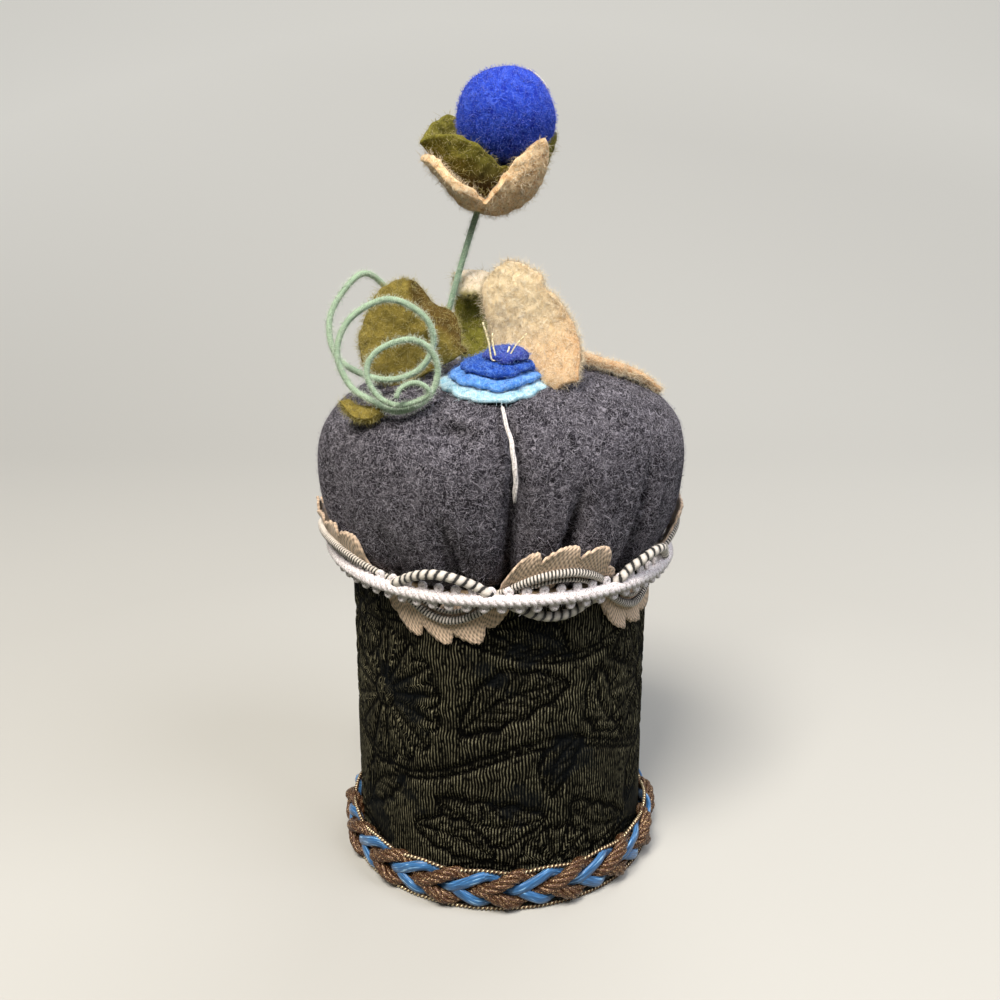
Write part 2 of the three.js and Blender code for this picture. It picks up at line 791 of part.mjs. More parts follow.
// Back leaf beside the stem, its tip rolled forward.
add(
  "leaf_back",
  leaf(
    [
      above(-3.4, -4, 0.5),
      above(-4.4, -1.4, 7.5),
      above(-5, -0.6, 14),
      above(-5.4, -2.2, 18.4),
      above(-5.6, -5, 17.4),
      above(-5.6, -5.6, 13.4),
    ],
    () => point(1, 0, 0),
    (u) => [oval(0.2 + 0.6 * u, 2.2, 0.7), oval(0.2 + 0.6 * u, 4, 0.7)],
    (u, v) => -0.5 * v * v,
    12,
    4,
  ),
  0x6e6a2a,
);

// Right leaf, folded so that its outside faces the front.
add(
  "leaf_right",
  leaf(
    [
      above(12.4, -22.4, 2),
      above(8.8, -15.8, 8),
      above(3.2, -13.3, 15.8),
      above(0.2, -12, 20.6),
    ],
    () => point(1, -0.4, -0.12),
    (u) => [
      read(RIGHT_LEAF, u) * rounded(u),
      (3.6 + 2.2 * Math.sin(Math.PI * u) + 0.4 * u - 1.6 * (1 - u) ** 9) * rounded(u),
    ],
    (u, v) => 1.2 * v * v * (1 - u),
  ),
  0xd3b88a,
);

// Strip leaf trailing down the right shoulder.
add(
  "leaf_strip",
  leaf(
    [
      above(11, -4, 9.3),
      above(12.4, -4, 6.3),
      above(14.8, -4, 3.3),
      above(19.9, -4, 2.4),
      above(26.9, -4, 2.9),
      above(30.3, -4, 2.4),
      above(32.6, -4, 1.9),
    ],
    () => point(0, 1, 0),
    (u) => [oval(u, 2.6, 1), oval(u, 2.6, 1)],
    (u, v) => -0.4 * v * v,
  ),
  0xdcae80,
);

// Flower stem and tendril: wire inside a thread wrapping.
const smoothStem = new THREE.CatmullRomCurve3(stemPath).getPoints(8);
add("stem_wire", tube(smoothStem, WIRE_R, 6), 0x9a9a96, 0.4, 0.8);
add("stem_wrap", wrapping(smoothStem, WRAP_R, WIRE_R + 0.12, 6), 0x7f9a80);
add("tendril", tube(tendrilPath, (u) => WRAP_R * (1 - 0.25 * u ** 6), 6), 0x9fb79a);

// Frame of the flower: up along its axis, across to the right, and toward the front.
const flowerRight = point(flowerAxis.z, 0, -flowerAxis.x);
const flowerFront = point(0, -1, 0);
const calyxBase = stemTip.clone().addScaledVector(flowerAxis, -11);
const ballCentre = calyxBase.clone().addScaledVector(flowerAxis, 2.04 * BALL_R);

function inFlower(across, toward, along) {
  const p = calyxBase.clone().addScaledVector(flowerAxis, along);
  return p.addScaledVector(flowerRight, across).addScaledVector(flowerFront, toward);
}

// Calyx ply: four sepals opening from a ring round the stem; the front left one is thrown back.
function calyx(rim, start, inset) {
  const steps = 36;
  const rows = 5;
  const rings = [];
  const bloom = BALL_R / 9.6;
  for (let i = 0; i < steps; i++) {
    const phi = (360 * i) / steps;
    const open = read(CALYX_BOWL, phi);
    const outer = [];
    const inner = [];
    for (let j = 0; j <= rows; j++) {
      const u = j / rows;
      const s = lerp(start, read(rim, phi), u);
      const bend = (open - CALYX_OPEN) * (s / 20) ** 2 + read(rim, phi, 2) * u ** 1.5;
      const angle = rad(CALYX_OPEN - 12 * Math.exp(-((s / 4) ** 2)) + bend);
      const place = (out) => {
        const across = s * bloom * Math.sin(angle) + out * Math.cos(angle);
        const along = s * bloom * Math.cos(angle) - out * Math.sin(angle) + 0.3;
        const a = rad(phi);
        return inFlower(across * Math.sin(a), across * Math.cos(a), along);
      };
      const low = inset > 0 ? inset * smoothstep(s, 1, 4.5) : inset;
      outer.push(place(low + CALYX_FELT));
      inner.unshift(place(low));
    }
    rings.push([...outer, ...inner]);
  }
  return cut(loft(rings, true), stemBore);
}
add("calyx_outer", calyx(OUTER_RIM, 2.1, CALYX_FELT / 2 + GAP), 0xd3b88a);
add("calyx_lining", calyx(LINING_RIM, 4.8, -CALYX_FELT / 2), 0x6e6a2a);

const ball = new THREE.SphereGeometry(BALL_R, 20, 12);
ball.translate(ballCentre.x, ballCentre.y, ballCentre.z);
add("bud_ball", cut(ball, stemBore), 0x2d47c8, 0.95);

// Gold thread laid over the ball from its top to the right.
const overBall = [];
for (let i = 0; i <= 10; i++) {
  const a = rad(lerp(-15, 70, i / 10));
  const way = point(Math.sin(a), 0.34, Math.cos(a)).normalize();
  overBall.push(ballCentre.clone().addScaledVector(way, BALL_R + GOLD_R + GAP));
}
add("bud_thread", tube(overBall, GOLD_R, 5), 0xe6cf9a, 0.4, 0.5);

export default part;
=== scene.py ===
"""Pincushion: a brocade drum with a puffed felt top, braid trims and a felt flower, dressed over its frame."""

import math

import bpy
import numpy as np
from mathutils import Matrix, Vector, noise


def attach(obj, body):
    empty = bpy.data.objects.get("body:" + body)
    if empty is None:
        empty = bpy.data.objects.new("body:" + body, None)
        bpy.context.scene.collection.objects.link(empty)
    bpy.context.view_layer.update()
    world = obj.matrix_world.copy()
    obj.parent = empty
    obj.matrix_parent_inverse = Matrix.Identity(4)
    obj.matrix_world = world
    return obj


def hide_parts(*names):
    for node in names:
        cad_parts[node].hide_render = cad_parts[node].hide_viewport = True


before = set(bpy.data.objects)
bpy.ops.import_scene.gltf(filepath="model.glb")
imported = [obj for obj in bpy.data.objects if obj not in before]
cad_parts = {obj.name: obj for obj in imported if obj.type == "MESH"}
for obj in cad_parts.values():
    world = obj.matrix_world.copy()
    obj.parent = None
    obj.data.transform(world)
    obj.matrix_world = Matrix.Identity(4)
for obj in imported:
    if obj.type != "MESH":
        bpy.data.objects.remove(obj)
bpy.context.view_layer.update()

bl_info = {
    "name": "Pincushion",
    "version": (1, 0, 0),
    "blender": (4, 5, 0),
    "location": "View3D > Sidebar > Pincushion",
    "description": "Builds a felt and brocade pincushion around its packed frame",
    "category": "Object",
}

MM = 0.001

# Camera, fitted to the photo: place in millimetres, tilt in degrees, focal length in picture widths.
CAMERA_BACK = 214.2
CAMERA_UP = 134.4
CAMERA_TILT = 14.77
CAMERA_FOCUS = 1.0211
SENSOR = 36

# Sizes of the frame that the fabric follows, in millimetres.
BODY_HEIGHT = 67.3
SLEEVE_R = 32.0
NECK_Z = 68.1
PUFF_R = 39.2
PUFF_Z = 88.5
PUFF_RISE = 19.0
PUFF_DROP = 27.3
ROUND_POWER = 3.2
UPPER_POWER = 2.31
LOWER_POWER = 2.54
CROWN_Z = PUFF_Z + PUFF_RISE


def linear(code):
    """Linear colour of an sRGB hex value."""
    channels = [(code >> shift & 255) / 255 for shift in (16, 8, 0)]
    return tuple(c / 12.92 if c <= 0.04045 else ((c + 0.055) / 1.055) ** 2.4 for c in channels)


def length(name, millimetres, text):
    return bpy.props.FloatProperty(
        name=name, description=text, default=millimetres * MM, min=0, subtype="DISTANCE", unit="LENGTH"
    )


def dye(name, code, text):
    return bpy.props.FloatVectorProperty(
        name=name, description=text, default=linear(code), size=3, min=0, max=1, subtype="COLOR"
    )


class PincushionSizes(bpy.types.PropertyGroup):
    """Sizes of the soft work."""

    groove: length("Tuft groove", 4.2, "Depth of the stitched groove at the front of the cushion")
    gather: length("Gathers", 3.6, "Depth of the gathers where the felt is drawn in at the neck")
    rib: length("Brocade rib", 0.63, "Spacing of the brocade's vertical ribs")
    weave: length("Ribbon weave", 0.45, "Spacing of the ribbon's woven dots")
    fine_stripe: length("Fine stripe", 0.66, "Spacing of the stripes on the fine cords")
    coarse_stripe: length("Coarse stripe", 1.75, "Spacing of the stripes on the coarse cord")
    wrap: length("Wire wrapping", 0.34, "Spacing of the thread wound on the wires")
    fibre: length("Loose fibre", 1.3, "Length of the loose wool fibres that stand off the felt")


class PincushionColours(bpy.types.PropertyGroup):
    """Colours of the soft work."""

    charcoal: dye("Cushion", 0x29262D, "Charcoal felt of the cushion")
    ball: dye("Ball", 0x223EB0, "Royal blue of the felted ball")
    tan: dye("Tan felt", 0xF6D2A2, "Tan felt of the calyx")
    olive: dye("Olive felt", 0x6C6728, "Olive felt of the calyx lining")
    mustard: dye("Mustard felt", 0x7E7034, "Mustard felt of the left leaves")
    green: dye("Wrapping", 0x98B094, "Pale green thread of the tendril")
    brocade: dye("Brocade", 0x050504, "Dark ground of the brocade")
    rib: dye("Brocade rib", 0xAEA888, "Gold olive ribs of the brocade")
    ribbon: dye("Ribbon", 0xD8BEA4, "Tan woven ribbon at the neck")
    picot: dye("Picot braid", 0xF2E9EB, "White looped braid at the neck")
    satin: dye("Blue satin", 0x30689E, "Blue strands of the foot plait")
    copper: dye("Copper yarn", 0x48280F, "Copper strands of the foot plait")


# Geometry helpers


def smooth(x, low, high):
    t = np.clip((np.asarray(x, float) - low) / (high - low), 0, 1)
    return t * t * (3 - 2 * t)


def mix(a, b, t):
    return a + (b - a) * t


def around(degrees, r, z):
    """Places at an angle from the front, a radius and a height."""
    a = np.radians(degrees)
    r, z = np.broadcast_to(r, np.shape(a)), np.broadcast_to(z, np.shape(a))
    return np.stack([r * np.sin(a), -r * np.cos(a), z], -1)


def angle_of(co):
    """Angles of places from the front, in degrees."""
    return np.degrees(np.arctan2(co[:, 0], -co[:, 1]))


def off_angle(degrees, middle):
    """Angles from a middle one, between -180 and 180."""
    return (degrees - middle + 540) % 360 - 180


def puff_radius(z):
    """Radius of the plain puffed cushion at a height."""
    z = np.asarray(z, float)
    off = np.where(z > PUFF_Z, (z - PUFF_Z) / PUFF_RISE, (PUFF_Z - z) / PUFF_DROP)
    power = np.where(z > PUFF_Z, UPPER_POWER, LOWER_POWER)
    return PUFF_R * np.maximum(0, 1 - np.clip(off, 0, 1) ** power) ** (1 / ROUND_POWER)


def crown(x, y, lift):
    """Place above the crown."""
    out = min(1, math.hypot(x, y) / PUFF_R)
    return [x, y, PUFF_Z + PUFF_RISE * (1 - out**ROUND_POWER) ** (1 / UPPER_POWER) + lift]


def under_trim(z):
    """Radius of what the neck trim lies on."""
    share = smooth(z, BODY_HEIGHT - 2, BODY_HEIGHT + 3)
    return mix(SLEEVE_R, np.maximum(SLEEVE_R, puff_radius(z)), share)


def spline(points, count):
    """Smooth line through points."""
    p = np.asarray(points, float)
    p = np.vstack([2 * p[0] - p[1], p, 2 * p[-1] - p[-2]])
    u = np.linspace(0, len(p) - 3, count)
    i = np.minimum(u.astype(int), len(p) - 4)
    t = (u - i)[:, None]
    a, b, c, d = p[i], p[i + 1], p[i + 2], p[i + 3]
    return 0.5 * (2 * b + (c - a) * t + (2 * a - 5 * b + 4 * c - d) * t**2 + (3 * b - a - 3 * c + d) * t**3)


def even(path, count, closed=False):
    """The same line with its points evenly spaced along it."""
    line = np.vstack([path, path[:1]]) if closed else path
    run = np.r_[0, np.cumsum(np.linalg.norm(np.diff(line, axis=0), axis=1))]
    at = np.linspace(0, run[-1], count, endpoint=not closed)
    return np.stack([np.interp(at, run, line[:, k]) for k in range(3)], -1)


def run_length(path, closed=False):
    line = np.vstack([path, path[:1]]) if closed else path
    return np.linalg.norm(np.diff(line, axis=0), axis=1).sum()


def directions(path, closed=False):
    if closed:
        t = np.roll(path, -1, 0) - np.roll(path, 1, 0)
    else:
        t = np.gradient(path, axis=0)
    return t / np.linalg.norm(t, axis=1, keepdims=True)


def ply_paths(path, count, offset, pitch, closed=False):
    """Lines wound round a line, as the plies of a yarn are."""
    t = directions(path, closed)
    normal = path * (1, 1, 0)
    normal -= t * (normal * t).sum(1, keepdims=True)
    normal /= np.linalg.norm(normal, axis=1, keepdims=True)
    side = np.cross(t, normal)
    turns = run_length(path, closed) / pitch
    turns = round(turns) if closed else turns
    u = np.arange(len(path)) / (len(path) if closed else len(path) - 1)
    made = []
    for k in range(count):
        a = 2 * np.pi * (turns * u + k / count)
        made.append(path + offset * (normal * np.cos(a)[:, None] + side * np.sin(a)[:, None]))
    return made


# Modelling helpers


def clear():
    if bpy.context.object and bpy.context.object.mode != "OBJECT":
        bpy.ops.object.mode_set(mode="OBJECT")
    bpy.ops.object.select_all(action="DESELECT")


def only(obj):
    clear()
    obj.select_set(True)
    bpy.context.view_layer.objects.active = obj


def started(name):
    obj = bpy.context.object
    obj.name = obj.data.name = name
    return obj


def added(name, step, **settings):
    """Adds an object by an operator and names it."""
    clear()
    step(**settings)
    return started(name)


def places(obj):
    co = np.empty(len(obj.data.vertices) * 3)
    obj.data.vertices.foreach_get("co", co)
    return co.reshape(-1, 3)


def put(obj, co):
    obj.data.vertices.foreach_set("co", np.ascontiguousarray(co, float).ravel())
    obj.data.update()


def shaped(obj, rule):
    """Moves every point of a piece by a rule in millimetres."""
    put(obj, rule(places(obj) / MM) * MM)


def edited(obj, *steps):
    """Runs edit mode operators on the whole of a piece."""
    only(obj)
    bpy.ops.object.mode_set(mode="EDIT")
    bpy.ops.mesh.select_all(action="SELECT")
    for step, settings in steps:
        step(**settings)
    bpy.ops.object.mode_set(mode="OBJECT")


def closed_up(obj):
    edited(
        obj,
        (bpy.ops.mesh.remove_doubles, {"threshold": 0.002 * MM}),
        (bpy.ops.mesh.normals_make_consistent, {"inside": False}),
    )


def applied(obj, kind, **settings):
    only(obj)
    modifier = obj.modifiers.new(kind.lower(), kind)
    for key, value in settings.items():
        setattr(modifier, key, value)
    bpy.ops.object.modifier_apply(modifier=modifier.name)


def subdivided(obj, levels):
    applied(obj, "SUBSURF", levels=levels, render_levels=levels)


def joined(name, parts):
    clear()
    for part in parts:
        part.select_set(True)
    bpy.context.view_layer.objects.active = parts[0]
    if len(parts) > 1:
        bpy.ops.object.join()
    return started(name)


def marked(obj, name, values):
    """Stores a number at every point of a piece for its material."""
    layer = obj.data.attributes.get(name) or obj.data.attributes.new(name, "FLOAT", "POINT")
    layer.data.foreach_set("value", np.asarray(values, np.float32))


def lumpy(obj, amount, size, seed):
    """Uneven felt: moves points along their normals by a soft noise, in millimetres."""
    co = places(obj)
    normals = np.empty(len(co) * 3)
    obj.data.vertices.foreach_get("normal", normals)
    shift = Vector((seed * 7.3, seed * 3.1, seed * 5.7))
    push = np.array([noise.noise(Vector(p) / (size * MM) + shift) for p in co])
    put(obj, co + normals.reshape(-1, 3) * (push * amount * MM)[:, None])


def cord(name, path, radius, sides=8, closed=False, form=None):
    """Round cord along points in millimetres; its UV map runs along it. A form may reshape its section."""
    obj = added(name, bpy.ops.curve.primitive_nurbs_path_add)
    obj.data.splines.clear()
    line = obj.data.splines.new("POLY")
    line.points.add(len(path) - 1)
    line.points.foreach_set("co", np.c_[path * MM, np.ones(len(path))].ravel())
    line.points.foreach_set("radius", np.broadcast_to(radius, len(path)).astype(float))
    line.use_cyclic_u = closed
    obj.data.bevel_depth = MM
    obj.data.bevel_resolution = sides // 2 - 2
    obj.data.use_fill_caps = not closed
    bpy.ops.object.convert(target="MESH")
    obj = started(name)
    if form is not None:
        co = places(obj)
        body = co[: len(path) * sides].reshape(len(path), sides, 3) / MM
        centres = path[:, None, :]
        co[: len(path) * sides] = (centres + form(body - centres, centres)).reshape(-1, 3) * MM
        put(obj, co)
    closed_up(obj)
    return obj


def coated(obj, material):
    obj.data.materials.clear()
    obj.data.materials.append(material)


def dressed(obj, material, slot, *nodes):
    """Gives a finished piece its material and its place in the frame."""
    coated(obj, material)
    only(obj)
    bpy.ops.object.shade_smooth()
    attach(obj, "root")
    if nodes:
        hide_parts(*nodes)
    return obj


# Materials


def feed(made, inputs):
    """Puts values or links on a node's inputs. A node given as a value stands for its first output."""
    for key, value in inputs.items():
        if isinstance(value, bpy.types.Node):
            value = value.outputs[0]
        if isinstance(value, bpy.types.NodeSocket):
            made.id_data.links.new(value, made.inputs[key])
        else:
            made.inputs[key].default_value = value


def node(tree, kind, inputs=None, stops=(), **settings):
    """Adds a shader node with its settings, colour stops, and values or links on its inputs."""
    made = tree.nodes.new(kind)
    for key, value in settings.items():
        setattr(made, key, value)
    feed(made, inputs or {})
    if stops:
        band = made.color_ramp.elements
        while len(band) < len(stops):
            band.new(1)
        for element, (place, colour) in zip(band, stops):
            element.position = place
            element.color = opaque(colour)
    return made


def shader_of(made):
    return made.node_tree.nodes["Principled BSDF"]


def material(name, **sockets):
    """New material with uniform values on its shader."""
    made = bpy.data.materials.new(name)
    made.use_nodes = True
    feed(shader_of(made), {key.replace("_", " "): value for key, value in sockets.items()})
    return made, made.node_tree


def surfaced(made, colour, height, strength, depth):
    """Ends a material with its colour and a relief, whose depth is in millimetres."""
    relief = {"Strength": strength, "Distance": depth * MM, "Height": height}
    bump = node(made.node_tree, "ShaderNodeBump", relief)
    feed(shader_of(made), {"Base Color": colour, "Normal": bump})
    return made


def opaque(colour):
    return (*colour, 1)


def shades(colour, down=0.45, up=1.6):
    """Dark, main and light shade of a dyed colour."""
    main = tuple(colour)
    return tuple(c * down for c in main), main, tuple(min(1, c * up + 0.01) for c in main)


def backdrop_ray(tree):
    """1 for rays that show the background: from the camera, and those seen in metal or glass."""
    ray = node(tree, "ShaderNodeLightPath").outputs
    seen = node(tree, "ShaderNodeMath", {0: ray["Is Camera Ray"], 1: ray["Is Glossy Ray"]}, operation="ADD")
    both = {0: seen, 1: ray["Is Transmission Ray"]}
    return node(tree, "ShaderNodeMath", both, operation="ADD", use_clamp=True)


# Spacing in millimetres and turn of the four layers of curled fibres in felt.
FIBRE_LAYERS = (
    (0.9, (0.4, 0.9, 0.2)), (1.3, (1.5, 0.3, 1.1)), (1.8, (2.6, 1.4, 2)), (1.1, (0.8, 2.2, 2.9)),
)
FIBRE_WIDTH = 0.03


def felt(name, dark, main, light, second=None, fibre=1.0, lines=0.5, sheen=0.2):
    """Needled wool felt: curled fibres that cross each other, matt, with a soft bloom at grazing angles.

    Real fibres are too fine to show, so they are drawn coarser.
    """
    made, tree = material(
        name, Roughness=0.95, Specular_IOR_Level=0.15,
        Sheen_Weight=sheen, Sheen_Roughness=0.45, Sheen_Tint=opaque(light),
    )
    place = node(tree, "ShaderNodeTexCoord").outputs["Object"]
    cloud = node(tree, "ShaderNodeTexNoise", {"Vector": place, "Scale": 1 / (1.8 * MM), "Detail": 5})
    webs = [0.0, 0.0]
    for k, (size, turn) in enumerate(FIBRE_LAYERS):
        thin = 1 / (size * fibre * MM)
        drawn = (thin, 0.4 * thin, thin)
        laid = node(tree, "ShaderNodeMapping", {"Vector": place, "Rotation": turn, "Scale": drawn})
        curled = {"Vector": laid, "Scale": 1, "Detail": 1.5, "Distortion": 0.7}
        web = node(tree, "ShaderNodeTexNoise", curled)
        # A fibre runs where the noise passes its middle value.
        off = node(tree, "ShaderNodeMath", {0: web, 1: 0.5}, operation="SUBTRACT")
        off = node(tree, "ShaderNodeMath", {0: off}, operation="ABSOLUTE")
        near = {"Value": off, "From Min": FIBRE_WIDTH, "From Max": 0.0, "To Max": lines}
        both = {0: node(tree, "ShaderNodeMapRange", near), 1: webs[k % 2]}
        webs[k % 2] = node(tree, "ShaderNodeMath", both, operation="MAXIMUM")
    over, under = webs

    def dyed(low, middle, high):
        pale = tuple(mix(a, b, 0.2) for a, b in zip(middle, high))
        stops = ((0.3, low), (0.48, middle), (0.72, pale))
        ground = node(tree, "ShaderNodeValToRGB", {"Fac": cloud}, stops).outputs[0]
        for web, tone in ((under, low), (over, high)):
            laid_on = {"Factor": web, 6: ground, 7: opaque(tone)}
            ground = node(tree, "ShaderNodeMix", laid_on, data_type="RGBA").outputs[2]
        return ground

    colour = dyed(dark, main, light)
    # A second set of shades, laid where the piece's tone attribute asks: a second dye on some pieces, painted
    # shade on others.
    if second is not None:
        tone = node(tree, "ShaderNodeAttribute", attribute_name="tone").outputs["Fac"]
        pick = {"Factor": tone, 6: colour, 7: dyed(*second)}
        colour = node(tree, "ShaderNodeMix", pick, data_type="RGBA").outputs[2]
    height = node(tree, "ShaderNodeMath", {0: cloud, 1: 1.2, 2: over}, operation="MULTIPLY_ADD")
    return surfaced(made, colour, height, 0.5, 0.25)


def stripes(name, pale, dark, count, share, blur=0.1, roughness=0.75, metallic=0.0):
    """Cotton cord bound with a dark thread: slanting stripes that go round it, matt, worn in places. The pale
    of each turn is painted darker toward the stripes, as shade.
    """
    made, tree = material(name, Roughness=roughness, Metallic=metallic, Sheen_Weight=0.1)
    along = node(tree, "ShaderNodeUVMap", uv_map="UVMap")
    u, v = node(tree, "ShaderNodeSeparateXYZ", {0: along}).outputs[:2]
    turns = node(tree, "ShaderNodeMath", {0: u, 1: float(count), 2: v}, operation="MULTIPLY_ADD")
    place = node(tree, "ShaderNodeTexCoord").outputs["Object"]
    wear = node(tree, "ShaderNodeTexNoise", {"Vector": place, "Scale": 1 / (0.6 * MM), "Detail": 3})
    shift = node(tree, "ShaderNodeMath", {0: wear, 1: 0.25, 2: turns}, operation="MULTIPLY_ADD")
    step = node(tree, "ShaderNodeMath", {0: shift, 1: 0.5}, operation="PINGPONG")
    # Painted shade: the pale of each turn darkens toward the dark stripes.
    shade = tuple(0.62 * c for c in pale)
    stops = ((share / 2, dark), (share / 2 + blur, shade), (0.42, pale))
    return surfaced(made, node(tree, "ShaderNodeValToRGB", {"Fac": step}, stops), wear, 0.6, 0.25)


def plain_yarn(name, colour, across, roughness=0.8, metallic=0.0, glint=None, along=False):
    """Spun yarn: fine threads, a little uneven in tone, that may be drawn along its length; a glint colour, if
    given, is a painted highlight on the brightest threads.
    """
    made, tree = material(
        name, Roughness=roughness, Metallic=metallic, Sheen_Weight=0.0 if metallic else 0.15
    )
    place, scale = node(tree, "ShaderNodeTexCoord").outputs["Object"], 1 / (across * MM)
    if along:
        # On a blue strand of the foot plait a thread is about 0.45 mm wide and seen for 3.4 mm.
        drawn = (70, 16, 1)
        uv = node(tree, "ShaderNodeUVMap", uv_map="UVMap")
        place, scale = node(tree, "ShaderNodeMapping", {"Vector": uv, "Scale": drawn}), 1
    thread = node(tree, "ShaderNodeTexNoise", {"Vector": place, "Scale": scale, "Detail": 2})
    dark, main, light = shades(colour, 0.45, 1.35)
    stops = [(0.3, dark), (0.5, main), (0.7, light)]
    # Painted highlight: the brightest threads take the glint colour.
    if glint is not None:
        stops = [(0.32, dark), (0.5, main), (0.6, light), (0.66, glint)]
    return surfaced(made, node(tree, "ShaderNodeValToRGB", {"Fac": thread}, stops), thread, 0.4, 0.1)


def gold_yarn(name):
    """Metallic yarn: pale gold with bright glints, which are painted highlights in its colour."""
    return plain_yarn(name, linear(0xF2E0B4), 0.3, 0.35, 0.2, linear(0xFFF6DC))


def wound(name, colour, turns):
    """Wire wound with cotton thread: close turns across it, each painted lighter across its middle and darker
    where it meets the next, as light and shade.
    """
    made, tree = material(name, Roughness=0.8, Sheen_Weight=0.25)
    along = node(tree, "ShaderNodeUVMap", uv_map="UVMap")
    u, v = node(tree, "ShaderNodeSeparateXYZ", {0: along}).outputs[:2]
    lead = node(tree, "ShaderNodeMath", {0: u, 1: float(turns), 2: v}, operation="MULTIPLY_ADD")
    wave = node(tree, "ShaderNodeMath", {0: lead, 1: 0.5}, operation="PINGPONG")
    place = node(tree, "ShaderNodeTexCoord").outputs["Object"]
    wear = node(tree, "ShaderNodeTexNoise", {"Vector": place, "Scale": 1 / (0.5 * MM), "Detail": 2})
    # Painted highlight and shade: the colour rises and falls with each turn of the thread, over uneven wear.
    tone = node(tree, "ShaderNodeMath", {0: wear, 1: 0.6, 2: wave}, operation="MULTIPLY_ADD")
    dark, main, light = shades(colour, 0.6, 1.25)
    stops = ((0.2, dark), (0.45, main), (0.8, light))
    return surfaced(made, node(tree, "ShaderNodeValToRGB", {"Fac": tone}, stops), wave, 0.6, 0.15)


def board(name, colour):
    """Grey board and packed dry fill: dull, with specks of pulp."""
    made, tree = material(name, Roughness=0.9)
    place = node(tree, "ShaderNodeTexCoord").outputs["Object"]
    speck = node(tree, "ShaderNodeTexNoise", {"Vector": place, "Scale": 1 / (0.8 * MM), "Detail": 4})
    dark, main, light = shades(colour, 0.8, 1.15)
    stops = ((0.35, dark), (0.5, main), (0.65, light))
    feed(shader_of(made), {"Base Color": node(tree, "ShaderNodeValToRGB", {"Fac": speck}, stops)})
    return made


def drawn_steel(name):
    """Drawn steel wire: bright, with a faint grain from the die."""
    made, tree = material(name, Metallic=1.0, Roughness=0.35)
    place = node(tree, "ShaderNodeTexCoord").outputs["Object"]
    grain = node(tree, "ShaderNodeTexNoise", {"Vector": place, "Scale": 1 / (0.4 * MM)})
    stops = ((0.3, linear(0x8A8A86)), (0.7, linear(0xA8A8A4)))
    feed(shader_of(made), {"Base Color": node(tree, "ShaderNodeValToRGB", {"Fac": grain}, stops)})
    return made


def brocade(name, ground, rib, pitch, girth):
    """Figured brocade: fine gold ribs that stop at dark seams, so it looks quilted, on blue black satin."""
    made, tree = material(name, Roughness=0.75, Specular_IOR_Level=0.02)
    place = node(tree, "ShaderNodeTexCoord").outputs["Object"]
    along = node(tree, "ShaderNodeUVMap", uv_map="UVMap")
    u = node(tree, "ShaderNodeSeparateXYZ", {0: along})
    seam, patch, zone = (
        node(tree, "ShaderNodeAttribute", attribute_name=key).outputs["Fac"]
        for key in ("seam", "patch", "zone")
    )
    stray = node(tree, "ShaderNodeTexNoise", {"Vector": place, "Scale": 1 / (4 * MM), "Detail": 1})
    fray = node(tree, "ShaderNodeTexNoise", {"Vector": place, "Scale": 1 / (0.5 * MM), "Detail": 2})
    # Seams and satin patches have frayed edges.
    apart = node(tree, "ShaderNodeMath", {0: fray, 1: 0.7, 2: seam}, operation="MULTIPLY_ADD")
    unseamed = node(tree, "ShaderNodeMapRange", {"Value": apart, "From Min": 0.55, "From Max": 0.95})
    satin = node(tree, "ShaderNodeMath", {0: fray, 1: 0.7, 2: patch}, operation="MULTIPLY_ADD")
    satin = node(tree, "ShaderNodeMapRange", {"Value": satin, "From Min": 0.6, "From Max": 1.0})
    ribbed = node(tree, "ShaderNodeMath", {0: satin, 1: -0.8, 2: 1.0}, operation="MULTIPLY_ADD")
    # The ribs start anew in each zone of the figure, and stray a little.
    start = node(tree, "ShaderNodeMath", {0: zone, 1: 2.7}, operation="MULTIPLY")
    phase = node(tree, "ShaderNodeMath", {0: u, 1: girth / pitch, 2: start}, operation="MULTIPLY_ADD")
    phase = node(tree, "ShaderNodeMath", {0: stray, 1: 2.0, 2: phase}, operation="MULTIPLY_ADD")
    wave = node(tree, "ShaderNodeMath", {0: phase, 1: 0.5}, operation="PINGPONG")
    lit = node(tree, "ShaderNodeMapRange", {"Value": wave, "From Min": 0.24, "From Max": 0.44})
    # They are broken from pick to pick, dimmer in some zones and worn in places.
    picks = node(tree, "ShaderNodeMapping", {"Vector": place, "Scale": (1.5 / MM, 1.5 / MM, 0.9 / MM)})
    broken = node(tree, "ShaderNodeTexNoise", {"Vector": picks, "Scale": 1, "Detail": 2})
    broken = node(tree, "ShaderNodeMapRange", {"Value": broken, "From Min": 0.34, "From Max": 0.62})
    dimmed = node(tree, "ShaderNodeMath", {0: zone, 1: 0.75, 2: 0.2}, operation="MULTIPLY_ADD")
    worn = node(tree, "ShaderNodeMapRange", {"Value": stray, "From Min": 0.3, "From Max": 0.52})
    worn = node(tree, "ShaderNodeMath", {0: worn, 1: 0.65, 2: 0.35}, operation="MULTIPLY_ADD")
    for share in (broken, dimmed, worn, unseamed, ribbed):
        lit = node(tree, "ShaderNodeMath", {0: lit, 1: share}, operation="MULTIPLY")
    blue = tuple(c * k + 0.002 for c, k in zip(ground, (0.8, 1.3, 2.2)))
    dark = {"Factor": satin, 6: opaque(ground), 7: opaque(blue)}
    dark = node(tree, "ShaderNodeMix", dark, data_type="RGBA").outputs[2]
    gold = {"Factor": lit, 6: dark, 7: opaque(rib)}
    gold = node(tree, "ShaderNodeMix", gold, data_type="RGBA").outputs[2]
    # The cloth swells between its seams.
    domed = node(tree, "ShaderNodeMapRange", {"Value": apart, "From Min": 0.2, "From Max": 1.5})
    domed = node(tree, "ShaderNodeMath", {0: domed, 1: 2.2, 2: lit}, operation="MULTIPLY_ADD")
    return surfaced(made, gold, domed, 1.0, 0.35)


